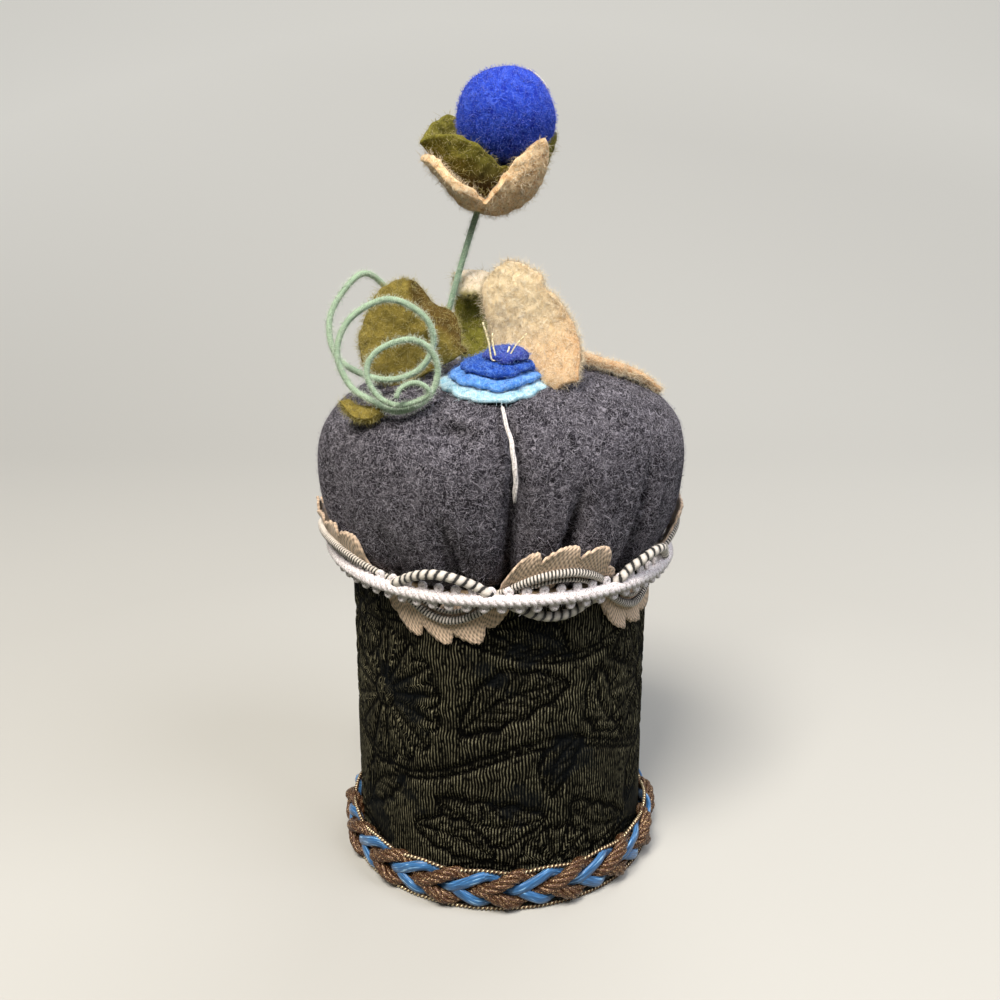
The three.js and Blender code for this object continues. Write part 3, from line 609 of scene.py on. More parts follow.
def woven(name, colour, across, along):
    """Plain woven ribbon: raised dots in rows, matt, with painted highlight on the dots and painted shade
    between the threads.
    """
    made, tree = material(name, Roughness=0.8, Sheen_Weight=0.15)
    uv = node(tree, "ShaderNodeUVMap", uv_map="UVMap")
    grid = node(tree, "ShaderNodeMapping", {"Vector": uv, "Scale": (along, across, 1)})
    x, y = node(tree, "ShaderNodeSeparateXYZ", {0: grid}).outputs[:2]
    threads = {}
    for k, way in enumerate(("ADD", "SUBTRACT")):
        slant = node(tree, "ShaderNodeMath", {0: x, 1: y}, operation=way)
        threads[k] = node(tree, "ShaderNodeMath", {0: slant, 1: 0.5}, operation="PINGPONG")
    # Painted light: the colour is lightest on each dot and darkest between the threads.
    dot = node(tree, "ShaderNodeMath", threads, operation="ADD")
    dark, main, light = shades(colour, 0.42, 1.3)
    stops = ((0.15, dark), (0.5, main), (0.85, light))
    return surfaced(made, node(tree, "ShaderNodeValToRGB", {"Fac": dot}, stops), dot, 0.8, 0.2)


# Operators


class Work:
    """What the builders share."""

    bl_options = {"REGISTER", "UNDO"}

    def execute(self, context):
        scene = context.scene
        self.build(scene.pincushion_sizes, scene.pincushion_colours)
        return {"FINISHED"}


class PINCUSHION_OT_stage(Work, bpy.types.Operator):
    """Pale floor, soft light and the camera"""

    bl_idname = "pincushion.stage"
    bl_label = "Stage"

    def build(self, sizes, colours):
        scene = bpy.context.scene
        scene.view_settings.view_transform = "Standard"
        self.floor()
        self.light(scene)
        scene.camera = added(
            "camera", bpy.ops.object.camera_add,
            location=(0, -CAMERA_BACK * MM, CAMERA_UP * MM), rotation=(math.radians(90 - CAMERA_TILT), 0, 0),
        )
        scene.camera.data.sensor_width = SENSOR
        scene.camera.data.lens = SENSOR * CAMERA_FOCUS
        scene.camera.data.clip_start = 0.005

    def floor(self):
        """Paper that lies in front and bends up into a wall behind, in metres."""
        wide, deep, back, high, bend = 5, 2.8, 1.3, 1.8, 0.9
        floor = added("floor", bpy.ops.mesh.primitive_plane_add, size=1)
        floor.scale = (wide, deep, 1)
        floor.location = (0, back - deep / 2, 0)
        bpy.ops.object.transform_apply(location=True, scale=True)
        bpy.ops.object.mode_set(mode="EDIT")
        bpy.ops.mesh.select_all(action="DESELECT")
        bpy.ops.object.mode_set(mode="OBJECT")
        for edge in floor.data.edges:
            edge.select = all(floor.data.vertices[v].co.y > 0.9 * back for v in edge.vertices)
        bpy.ops.object.mode_set(mode="EDIT")
        bpy.ops.mesh.extrude_region_move(TRANSFORM_OT_translate={"value": (0, 0, high)})
        bpy.ops.object.mode_set(mode="OBJECT")
        applied(floor, "BEVEL", width=bend, segments=32, limit_method="ANGLE")
        bpy.ops.object.shade_smooth()

        # Matt paper: pale and even, without gloss.
        paper, tree = material(
            "matt_paper", Roughness=0.9, Specular_IOR_Level=0.2, Emission_Color=opaque(linear(0xE4E3DE))
        )
        seen = backdrop_ray(tree)
        # Bounced light is dimmer than the paper looks, so the undersides stay in shade.
        tones = {"Factor": seen, 6: opaque(linear(0x55574A)), 7: opaque(linear(0xBCBBB6))}
        colour = node(tree, "ShaderNodeMix", tones, data_type="RGBA").outputs[2]
        # Far from the object the paper is as pale as near it.
        place = node(tree, "ShaderNodeTexCoord").outputs["Object"]
        away = node(tree, "ShaderNodeVectorMath", {0: place}, operation="LENGTH").outputs["Value"]
        reach = {"Value": away, "From Min": 0.2, "From Max": 1.2, "To Max": 0.56}
        both = {0: node(tree, "ShaderNodeMapRange", reach), 1: seen}
        glow = node(tree, "ShaderNodeMath", both, operation="MULTIPLY")
        feed(shader_of(paper), {"Base Color": colour, "Emission Strength": glow})
        coated(floor, paper)

    def light(self, scene):
        scene.world = bpy.data.worlds.new("studio")
        scene.world.use_nodes = True
        tree = scene.world.node_tree
        seen = {0: backdrop_ray(tree), 1: 0.5, 2: 0.1}
        strength = node(tree, "ShaderNodeMath", seen, operation="MULTIPLY_ADD")
        feed(tree.nodes["Background"], {"Color": (0.97, 0.98, 0.97, 1), "Strength": strength})
        # Place and size in metres, power and colour of each lamp.
        lamps = (
            ("key", (-0.19, -0.44, 0.78), 0.34, 10.9, 0xFFF8EE),
            ("fill", (0.5, -0.3, 0.66), 0.5, 3.7, 0xF4F6FF),
            ("rim", (0.2, 0.42, 0.66), 0.5, 2.0, 0xFFFFFF),
        )
        aimed_at = Vector((0, 0, 0.08))
        for name, place, size, power, code in lamps:
            lamp = added(name, bpy.ops.object.light_add, type="AREA", location=place)
            lamp.data.size = size
            lamp.data.energy = power
            lamp.data.color = linear(code)
            lamp.rotation_euler = (aimed_at - Vector(place)).to_track_quat("-Z", "Y").to_euler()


class PINCUSHION_OT_drum(Work, bpy.types.Operator):
    """Base felt, brocade sleeve and the boards inside"""

    bl_idname = "pincushion.drum"
    bl_label = "Drum"

    def build(self, sizes, colours):
        for name, code in (("core_tube", 0x9A8466), ("base_card", 0x9A8466), ("ballast", 0x8A765C)):
            coated(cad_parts[name], board("board_" + name, linear(code)))

        disc, worn_edge = 1.5, 0.35
        base = added(
            "base_felt_disc", bpy.ops.mesh.primitive_cylinder_add,
            vertices=96, radius=SLEEVE_R * MM, depth=disc * MM, location=(0, 0, disc / 2 * MM),
        )
        bpy.ops.object.transform_apply(location=True)
        applied(base, "BEVEL", width=worn_edge * MM, segments=3, limit_method="ANGLE")
        dressed(base, felt("wool_felt_black", *shades(linear(0x26261F))), "wool_felt_black", "base_felt")

        low, thick, relief, half_gap = 1.8, 0.8, 0.35, 0.25
        sleeve = added(
            "brocade_cover", bpy.ops.mesh.primitive_grid_add, x_subdivisions=440, y_subdivisions=100, size=2
        )
        flat = places(sleeve)
        degrees = flat[:, 0] * (180 - math.degrees(half_gap / SLEEVE_R))
        z = mix(low, BODY_HEIGHT, (flat[:, 1] + 1) / 2)
        seams, patch, zone = self.figure(np.radians(degrees) * SLEEVE_R, z)
        # The cloth sinks toward its seams.
        put(sleeve, around(degrees, SLEEVE_R - relief + relief * smooth(seams, 0, 1.4), z) * MM)
        for key, values in (("seam", seams), ("patch", patch), ("zone", zone)):
            marked(sleeve, key, values)
        applied(sleeve, "SOLIDIFY", thickness=(thick - relief) * MM, offset=-1)
        girth = 2 * math.pi * SLEEVE_R
        cloth = brocade("jacquard_brocade", colours.brocade, colours.rib, sizes.rib / MM, girth)
        dressed(sleeve, cloth, "jacquard_brocade", "brocade_sleeve")

    def figure(self, x, z):
        """Generic woven blossoms, leaves and stems: way to the nearest seam, satin patches and rib zones."""
        repeat = 2 * math.pi * SLEEVE_R / 3
        far = 3.0
        seams = np.full_like(x, far)
        zone = np.full_like(x, 0.55)

        def local(cx, cz, turn):
            dx = (x - cx + 1.5 * repeat) % repeat - repeat / 2
            a = math.radians(turn)
            dz = z - cz
            return dx * math.cos(a) + dz * math.sin(a), dz * math.cos(a) - dx * math.sin(a)

        def draw(distance, where=True, fine=0.0):
            np.minimum(seams, np.where(where, np.abs(distance) + fine, far), out=seams)

        # Stems: pairs of seams that wander round the drum.
        for cz, rise, waves, lead in ((31, 4.5, 1, 0.6), (6, 3, 2, 2.1), (57, 3.5, 1, 3.4)):
            line = z - cz - rise * np.sin(2 * np.pi * waves * x / repeat + lead)
            draw(line - 0.8)
            draw(line + 0.8)
            twist = (x + 1.5 * line) % 2.4 - 1.2
            draw(0.6 * twist, np.abs(line) < 0.8, 0.2)
        # Leaves: centre, length, half width, turn, brightness and arch.
        leaves = (
            (3, 43, 25, 5.2, 24, 0.35, 3.5), (-2, 21, 24, 5, 172, 0.8, 3), (25, 42, 19, 4.4, 118, 0.9, 2.5),
            (-28, 20, 17, 4.4, 40, 0.4, 2.5), (-10, 13, 19, 4.2, -14, 0.95, 2),
            (23, 17, 19, 4.4, 150, 0.5, 3), (6, 58, 17, 3.6, -18, 0.85, 2),
            (-33, 60, 14, 3.4, -30, 0.5, 2), (14, 30, 15, 3.6, 60, 0.3, 2.5),
        )
        for cx, cz, long, half, turn, shade, arch in leaves:
            px, pz = local(cx, cz, turn)
            t = np.clip(px / long + 0.5, 0, 1)
            on = (t > 0) & (t < 1)
            bend = pz - arch * np.sin(np.pi * t)
            wide = half * np.sin(np.pi * t) ** 0.8 * (1 + 0.1 * np.sin(8 * np.pi * t))
            inside = on & (np.abs(bend) < wide)
            seams[inside] = far
            zone[inside] = np.where(bend[inside] > 0, shade, 0.7 * shade)
            draw(0.8 * (np.abs(bend) - wide), on)
            draw(bend, inside & (t > 0.06), 0.08)
            vein = (px - 1.3 * np.abs(bend)) % 3.4 - 1.7
            draw(0.7 * vein, inside, 0.3)
        # Blossoms: centre, size, petals and turn.
        for cx, cz, size, petals, turn in ((-27, 43, 15, 15, 10), (12, 8, 9, 11, 40), (31, 58, 9.5, 11, 0)):
            px, pz = local(cx, cz, turn)
            d, a = np.hypot(px, pz), np.arctan2(pz, px)
            part = petals * a / (2 * np.pi)
            spoke = np.abs(part - np.rint(part)) * 2 * np.pi * d / petals
            edge = size * (0.82 + 0.18 * np.abs(np.cos(petals * a / 2)) ** 0.6)
            inside = d < edge
            seams[inside] = far
            zone[inside] = 0.45 + 0.4 * (np.rint(part[inside]) % 2)
            draw(d - edge)
            draw(spoke, inside & (d > 0.22 * size), 0.05)
            draw(d - 0.22 * size)
            draw(d - 0.6 * edge, inside, 0.3)
        # Satin patches lie where a few long waves add up.
        a, b = 2 * np.pi * x / repeat, 2 * np.pi * z / 47
        cloud = np.sin(2 * a + 1.2 * np.sin(b)) + np.sin(a - 1.7 * b + 1) + 0.7 * np.sin(3 * a + 2.3 * b)
        cloud = cloud + 0.5 * np.sin(7 * a + 5 * b) + 0.35 * np.sin(9 * a - 11 * b)
        return seams, np.clip(0.25 + 0.5 * (cloud - 1.1), 0, 1), zone


class PINCUSHION_OT_foot_plait(Work, bpy.types.Operator):
    """Four-strand plait round the foot, between two metallic edge cords"""

    bl_idname = "pincushion.foot_plait"
    bl_label = "Foot plait"

    def build(self, sizes, colours):
        middle, swing, out = 5.0, 2.75, 33.8
        start, periods, steps = -6, 8, 48
        count = periods * steps
        turn = np.arange(count) / steps
        degrees = start - 360 * turn / periods

        def side(t):
            """1 where a strand passes over, -1 where it passes under."""
            return np.select(
                [t < 0.25, t < 0.45, t < 0.65, t < 0.9],
                [
                    2 * smooth(t, -0.07, 0.07) - 1,
                    1 - 2 * smooth(t, 0.235, 0.32),
                    2 * smooth(t, 0.43, 0.57) - 1,
                    1 - 2 * smooth(t, 0.685, 0.765),
                ],
                2 * smooth(t - 1, -0.07, 0.07) - 1,
            )

        def strand(phase, lift):
            t = (turn + phase) % 1
            over = np.convolve(np.tile(side(t), 3), np.hanning(7) / np.hanning(7).sum(), "same")
            z = middle + swing * (0.9 * np.cos(2 * np.pi * t) + 0.1 * np.cos(6 * np.pi * t))
            return around(degrees, out + lift * over[count : 2 * count], z)

        def flat(offsets, centres):
            """Section at half its depth."""
            radial = centres * (1, 1, 0)
            radial = radial / np.linalg.norm(radial, axis=2, keepdims=True)
            depth = (offsets * radial).sum(2, keepdims=True)
            return offsets - 0.5 * depth * radial

        # Painted highlight: the palest streaks of the blue satin take a pale blue glint colour.
        satin = plain_yarn("rayon_satin_cord", colours.satin, 0.3, 0.38, glint=linear(0x9CCBEF), along=True)
        for k, phase in enumerate((0, 0.5), 1):
            piece = cord(f"blue_strand_{k}", strand(phase, 0.75), 1.15, 12, True, flat)
            dressed(piece, satin, "blue_satin_cord", f"foot_strand_blue_{k}")
        # Painted highlight: the brightest specks of the copper yarn take a pale glint colour.
        metal = plain_yarn("copper_metallic_yarn", colours.copper, 0.22, 0.45, 0.35, linear(0xE8C898))
        for k, phase in enumerate((0.25, 0.75), 1):
            path = even(strand(phase, 0.95), 720, True)
            plies = [
                cord(f"copper_ply_{k}_{j}", ply, 0.56, 8, True)
                for j, ply in enumerate(ply_paths(path, 5, 0.86, 11, True))
            ]
            piece = joined(f"copper_strand_{k}", plies)
            dressed(piece, metal, "copper_metallic_yarn", f"foot_strand_copper_{k}")
        beads, steps = 240, 8
        # Metallic cord: bright beads with dark gaps, and glints between. The dark gaps are painted shade
        # between the beads.
        gold = stripes("gold_metallic_cord", linear(0xFCE8BC), linear(0x4A3018), beads, 0.45, 0.12, 0.35, 0.55)
        ring = np.arange(beads * steps) * 360 / (beads * steps)
        bead = 0.34 - 0.13 * np.cos(2 * np.pi * np.arange(beads * steps) / steps - 1.2)
        # The upper cord follows the bows of the plait.
        for name, z, r, bow in (("lower", 0.6, out, 0), ("upper", 8.75, 33.5, 0.3)):
            wavy = z + bow * np.cos(np.radians(2 * periods * (ring - start)))
            piece = cord(f"gold_edge_{name}", around(ring, r, wavy), bead, 8, True)
            dressed(piece, gold, "gold_metallic_cord", f"foot_edge_{name}")


class PINCUSHION_OT_cushion(Work, bpy.types.Operator):
    """Stuffed felt cushion with its tufted groove, gathers and thread"""

    bl_idname = "pincushion.cushion"
    bl_label = "Cushion"

    # Height and angle of the stitched groove.
    groove_line = ((108, 0.5), (104, 0.7), (98, 3.6), (92, 4.6), (84, 4.2), (76, 3.4), (66, 3.2))
    # Where the felt ends in the neck, how soon it gets there, and how far the filling may move it.
    hem_z = 67.6
    hem_share = 1.35
    slack = 1.1

    def groove_at(self, z):
        heights, angles = zip(*self.groove_line[::-1])
        return np.interp(z, heights, angles)

    def build(self, sizes, colours):
        cover = added(
            "cushion_felt", bpy.ops.mesh.primitive_uv_sphere_add, segments=96, ring_count=64, radius=MM
        )
        shaped(cover, self.puffed)
        applied(cover, "REMESH", mode="VOXEL", voxel_size=2.6 * MM)
        self.fill(cover)
        subdivided(cover, 2)
        shaped(cover, lambda co: self.drawn_in(co, sizes.groove / MM, sizes.gather / MM))
        lumpy(cover, 0.35, 9, 2)
        wool = felt(
            "wool_felt_charcoal",
            linear(0x0C0A0E),
            tuple(colours.charcoal),
            linear(0xA8A4AE),
            fibre=0.55,
            lines=0.72,
            sheen=0.1,
        )
        dressed(cover, wool, "wool_felt_charcoal", "cushion_cover", "cushion_filling")

        top, foot, count = 103.2, 87, 40
        z = np.linspace(top, foot, count)
        sunk = np.interp(z, [foot, 90, 96, 101, top], [2.6, 1.7, 0.8, 0.6, 1.4])
        path = around(self.groove_at(z) - 0.3, puff_radius(z) - sunk, z)
        taper = np.interp(np.arange(count), [0, 4, 20, 34, 39], [0.25, 0.3, 0.5, 0.42, 0.15])
        strands = [
            cord(f"tuft_ply_{j}", ply, 0.6 * taper, 6) for j, ply in enumerate(ply_paths(path, 3, 0.22, 14))
        ]
        thread = joined("tufting_floss", strands)
        floss = plain_yarn("cotton_floss", linear(0xDCD6D4), 0.3, 0.6)
        dressed(thread, floss, "cream_thread", "tufting_thread")

    def puffed(self, co):
        """Sphere to the plain cushion, a little slack before it is filled."""
        share = np.clip(co[:, 2], -1, 1)
        z = np.where(
            share > 0,
            PUFF_Z + PUFF_RISE * np.abs(share) ** 1.05,
            PUFF_Z - (PUFF_Z - self.hem_z) * np.minimum(1, self.hem_share * np.abs(share)),
        )
        r = puff_radius(np.minimum(z, CROWN_Z - 0.001))
        out = np.hypot(co[:, 0], co[:, 1])
        hem = 1 / self.hem_share
        closing = np.where(share < -hem, out / math.sqrt(1 - hem**2), 1)
        degrees = angle_of(co)
        return around(degrees, (r - 0.5) * np.minimum(1, closing), z)

    def fill(self, cover):
        """Swells the felt with a light cloth simulation, and keeps each point near its start."""
        begin = places(cover)
        z = begin[:, 2] / MM
        off = np.abs(off_angle(angle_of(begin), self.groove_at(z)))
        held = cover.vertex_groups.new(name="held")
        tight = np.maximum(1 - smooth(z, 68, 71), np.where(begin[:, 1] < 0, 1 - smooth(off, 2, 7), 0))
        for k, weight in enumerate(tight):
            if weight > 0.01:
                held.add([k], float(weight), "REPLACE")
        only(cover)
        cloth = cover.modifiers.new("filling", "CLOTH")
        cloth.settings.quality = 5
        cloth.settings.mass = 0.1
        cloth.settings.vertex_group_mass = "held"
        cloth.settings.use_pressure = True
        cloth.settings.uniform_pressure_force = 4
        cloth.settings.effector_weights.gravity = 0
        scene = bpy.context.scene
        for step in range(1, 21):
            scene.frame_set(step)
        bpy.ops.object.modifier_apply(modifier=cloth.name)
        scene.frame_set(1)
        moved = places(cover) - begin
        far = np.linalg.norm(moved, axis=1, keepdims=True)
        put(cover, begin + moved * np.minimum(1, self.slack * MM / np.maximum(far, 1e-9)))

    def drawn_in(self, co, groove, gather):
        """Stitched groove, gathers at the neck, a dent, and the uneven shoulders."""
        z = co[:, 2]
        degrees = angle_of(co)
        r = np.hypot(co[:, 0], co[:, 1])
        wide = smooth(r, 8, 26)
        off = off_angle(degrees, self.groove_at(z))
        deep = groove * (1.35 * np.exp(-np.abs(off / 2.4) ** 1.4) + 0.5 * np.exp(-((off / 13) ** 2)))
        deep *= np.interp(z, [66, 74, 88, 96, 101, 107], [1.3, 1.3, 1.1, 0.65, 0.45, 0.1])
        # Angle, share of the depth, width and top of each gather.
        gathers = (
            (-59, 1.3, 3.2, 98), (-36, 0.5, 4, 84), (-15, 1.2, 2.6, 86), (21, 2.0, 2.3, 92),
            (46, 1.4, 3, 98), (70, 0.7, 4, 94), (101, 0.8, 4, 90), (128, 1.0, 4, 94), (152, 0.7, 3.6, 88),
            (176, 1.0, 4, 96), (-158, 0.8, 4, 90), (-131, 1.0, 3.6, 94), (-104, 0.7, 4, 88),
            (-80, 0.9, 4, 92),
        )
        for at, share, width, top in gathers:
            lean = off_angle(degrees, at + 0.2 * (z - 76) * math.copysign(1, at))
            rise = 1 - smooth(z, 74, top)
            deep += gather * share * rise * np.exp(-np.abs(lean / width) ** 1.5)
        deep *= wide
        # A shallow dent left of the thread.
        dent = np.hypot((co[:, 0] + 9.5) / 4.4, (z - 98.4) / 2.2)
        deep += np.where(co[:, 1] < -10, 3.6 * np.exp(-(dent**2)), 0)
        # The right shoulder is fuller and the left one lower.
        right = np.exp(-((off_angle(degrees, 70) / 40) ** 2)) * smooth(z, 84, 97)
        left = np.exp(-((off_angle(degrees, -70) / 40) ** 2)) * smooth(z, 90, 102)
        new = np.maximum(0, r - deep + 0.7 * right * wide)
        height = z - 0.9 * left * wide
        scale = np.where(r > 1e-6, new / np.maximum(r, 1e-6), 1)
        return np.stack([co[:, 0] * scale, co[:, 1] * scale, height], -1)


def neck_line(degrees):
    """Height of the neck: it rises a little at the left."""
    return NECK_Z + 2.4 * np.exp(-((off_angle(degrees, -88) / 42) ** 2))


def neck_wave(degrees):
    """Swing of the scroll trim from -1 to 1, and its reach: the arches differ from place to place."""
    at = (degrees + 270) % 360 - 270
    knots = [-270, -130, -106, -72, -36, -18, 18, 54, 90]
    turns = np.interp(at, knots, [-4, -1.5, -1.25, -1, -0.75, -0.5, 0, 0.5, 1])
    reach = np.interp(at, [-270, -200, -130, -72, -18, 18, 54, 90], [9.4, 8, 8, 5.5, 8.2, 7.6, 9.4, 9.4])
    return np.cos(2 * np.pi * turns), reach


class PINCUSHION_OT_neck_trim(Work, bpy.types.Operator):
    """Scalloped ribbon, striped cords and picot braid round the neck"""

    bl_idname = "pincushion.neck_trim"
    bl_label = "Neck trim"

    def build(self, sizes, colours):
        self.ribbon(colours, sizes.weave / MM)
        self.cords(sizes)
        self.picot(colours)

    def ribbon(self, colours, weave):
        steps, lobes, knob, shift = 900, 32, 0.64, 0.45
        width, girth = 4.8, 245
        ribbon = added(
            "scalloped_ribbon", bpy.ops.mesh.primitive_grid_add,
            x_subdivisions=steps, y_subdivisions=10, size=2,
        )
        flat = places(ribbon)
        degrees = (flat[:, 0] + 1) * 180
        v = flat[:, 1]
        wave, swing = neck_wave(degrees + 8 * np.exp(-((off_angle(degrees, -42) / 13) ** 2)))
        bold = np.tanh(2.2 * wave) / math.tanh(2.2)
        middle = neck_line(degrees) + 0.8 * swing * bold
        t = (degrees / 360 * lobes) % 1
        hook = np.where(v > 0, t, (t + shift) % 1)
        # Each scallop rises gently from its left and ends in a knob at its right.
        lobe = np.sqrt(1 - np.where(hook < knob, hook / knob - 1, (hook - knob) / (1 - knob)) ** 2)
        count = np.floor(degrees / 360 * lobes + np.where(v > 0, 0, shift)) % lobes
        half = 1.1 + (3.2 + 0.5 * np.sin(2.4 * count)) * lobe
        fray = np.random.default_rng(7).normal(0, 0.16, (2, steps))
        column = np.rint((flat[:, 0] + 1) * steps / 2).astype(int) % steps
        half = half + fray[(v > 0).astype(int), column]
        z = middle + v * half
        degrees = degrees + 2.2 * lobe**2 * np.abs(v) ** 3
        curl = 0.35 * np.abs(v) ** 3 * np.sin(2 * np.pi * t + 0.8)
        put(ribbon, around(degrees, under_trim(z) + 0.55 + curl, z) * MM)
        edited(ribbon, (bpy.ops.mesh.remove_doubles, {"threshold": 0.01 * MM}))
        applied(ribbon, "SOLIDIFY", thickness=0.5 * MM, offset=0)
        cloth = woven("tan_woven_ribbon", colours.ribbon, width / weave / 2, girth / weave / 2)
        dressed(ribbon, cloth, "tan_woven_ribbon", "gimp_ribbon")

    def cords(self, sizes):
        cream, black = linear(0xE4DCD2), linear(0x1B1917)
        degrees = np.arange(2880) / 8
        wave, swing = neck_wave(degrees)
        fine, fine_lift, coarse, coarse_lift = 0.6, 1.4, 0.95, 1.75

        def turns(path, stripe, depth):
            """Turns of the binding along a cord, and the ridges that it makes."""
            count = round(run_length(path, True) / (stripe / MM))
            return count, 1 + depth * np.cos(2 * np.pi * count * np.arange(len(path)) / len(path))

        for name, side in (("upper", 1), ("lower", -1)):
            # The cord on the outside of each arch is the thicker one.
            thick = fine * (1 + 0.35 * side * wave)
            z = neck_line(degrees) + 0.58 * swing * wave + 0.9 * side
            path = even(around(degrees, under_trim(z) + fine_lift, z), 2880, True)
            count, ridge = turns(path, sizes.fine_stripe, 0.1)
            piece = cord(f"fine_cord_{name}", path, thick * ridge, 8, True)
            bound = stripes(f"bound_cord_{name}", cream, black, count, 0.3)
            dressed(piece, bound, "striped_fine_cord", f"gimp_cord_fine_{name}")
        z = neck_line(degrees) - 0.6 * swing * wave
        # Where it crosses the fine cords it passes over them.
        near = 1 - smooth(np.abs(wave), 0.28, 0.6)
        out = under_trim(z) + mix(coarse_lift, fine_lift + 0.5 + 0.9, near)
        path = even(around(degrees, out, z), 1920, True)
        count, ridge = turns(path, sizes.coarse_stripe, 0.05)
        piece = cord("coarse_cord", path, coarse * ridge, 10, True)
        bound = stripes("bound_cord_coarse", cream, black, count, 0.26, 0.06)
        dressed(piece, bound, "striped_coarse_cord", "gimp_cord_coarse")

    def picot(self, colours):
        out, count, ring, thick = 36.3, 68, 0.52, 0.5
        degrees = np.arange(720) / 2
        line = around(degrees, out, neck_line(degrees))
        parts = [
            cord(f"picot_strand_{j}", ply, 0.74, 8, True)
            for j, ply in enumerate(ply_paths(line, 3, 0.52, 4.4, True))
        ]
        for k in range(count):
            for rise, lead in ((1.65, 0.5), (-1.65, 0.1)):
                at = 360 * (k + lead) / count
                spot = around(at, out - 0.35, float(neck_line(np.array(at))) + rise) * MM
                loop = added(
                    f"picot_loop_{k}_{rise}", bpy.ops.mesh.primitive_torus_add,
                    major_segments=14, minor_segments=6, major_radius=ring * MM, minor_radius=thick * MM,
                    location=tuple(spot), rotation=(math.radians(90), 0, math.radians(at)),
                )
                bpy.ops.object.transform_apply(location=True, rotation=True)
                parts.append(loop)
        braid = joined("picot_loops", parts)
        cotton = plain_yarn("white_cotton_braid", colours.picot, 0.3, 0.85)
        dressed(braid, cotton, "white_picot_braid", "picot_braid")


ROSETTE = np.array(crown(-1, -18.5, -0.4))
ROSETTE_TILT = math.atan2(crown(-1, -14.5, 0)[2] - crown(-1, -22.5, 0)[2], 8)


def on_rosette(co):
    """Places on the tilted rosette, from its own middle."""
    c, s = math.cos(ROSETTE_TILT), math.sin(ROSETTE_TILT)
    x, y, z = np.asarray(co, float).T
    return np.stack([x, y * c - z * s, y * s + z * c], -1) + ROSETTE


class PINCUSHION_OT_rosette(Work, bpy.types.Operator):
    """Four stacked felt discs with gold thread tails"""

    bl_idname = "pincushion.rosette"
    bl_label = "Rosette"

    def build(self, sizes, colours):
        # Radius, place along the rosette, height, and the dark, main and light shades of each disc.
        discs = (
            ("pale", 10.9, 0, 0, 0x6FA4BC, 0xA4CCDC, 0xE4F6FC, "wool_felt_pale_blue"),
            ("cornflower", 8.9, 0, 1.85, 0x3468B8, 0x5690DC, 0x9CC6F6, "wool_felt_cornflower"),
            ("royal", 7.1, 0.5, 3.6, 0x142E78, 0x234AA8, 0x5C88DC, "wool_felt_royal"),
            ("indigo", 4.5, 2.1, 5.0, 0x1A2668, 0x2C3E98, 0x7480C8, "wool_felt_indigo"),
        )
        square = 1.65
        for k, (name, radius, along, low, dark, main, light, slot) in enumerate(discs):
            disc = added(
                f"rosette_{name}", bpy.ops.mesh.primitive_uv_sphere_add, segments=72, ring_count=28, radius=MM
            )

            def lie(co):
                out = np.hypot(co[:, 0], co[:, 1])
                a = np.arctan2(co[:, 1], co[:, 0])
                corners = (np.abs(np.cos(a)) ** square + np.abs(np.sin(a)) ** square) ** (-1 / square)
                ragged = corners + 0.025 * np.sin(5 * a + k) + 0.02 * np.sin(13 * a + 2 * k)
                r = radius * ragged * np.clip(out, 0, 1) ** 0.3
                r = np.where(out < 0.02, 0, r)
                front = np.exp(-(((a + np.pi / 2) / 0.35) ** 2))
                sag = (0.011 + 0.006 * k + 0.004 * front) * r**2
                wave = 0.12 * np.sin(7 * a + 3 * k) * (r / radius) ** 4
                dome = 0.6 * (1 - (r / radius) ** 2) if name == "indigo" else 0
                z = low + 0.75 + 0.66 * np.sign(co[:, 2]) * np.abs(co[:, 2]) ** 0.5 - sag + wave + dome
                return on_rosette(np.stack([along + r * np.cos(a), r * np.sin(a), z], -1))

            shaped(disc, lie)
            lumpy(disc, 0.2, 1.5, 3 + k)
            wool = felt(slot, linear(dark), linear(main), linear(light), lines=0.6)
            dressed(disc, wool, slot, f"rosette_disc_{name}")

        gold = gold_yarn("gold_metallic_thread")
        foot, front = 5.4, -3.2
        tails = (("left", -0.2, (-2.2, -0.4), 6.6, 0.16), ("right", 2, (2.8, 6), 2, 0.08))
        for name, x, tips, rise, end in tails:
            path = [
                (tips[0], front + 1.2, foot + rise), (mix(x, tips[0], 0.5), front + 0.6, foot + rise / 2),
                (x - 0.4, front, foot), (x + 0.4, front, foot),
                (mix(x, tips[1], 0.5), front + 0.7, foot + 2.4), (tips[1], front + 1.4, foot + 4.5),
            ]
            thick = np.interp(np.arange(40), [0, 20, 39], [0.2, 0.19, end])
            tail = cord(f"gold_tail_{name}", on_rosette(spline(path, 40)), thick, 6)
            dressed(tail, gold, "gold_thread", f"gold_tails_{name}")


LEAF_FELT = 1.5


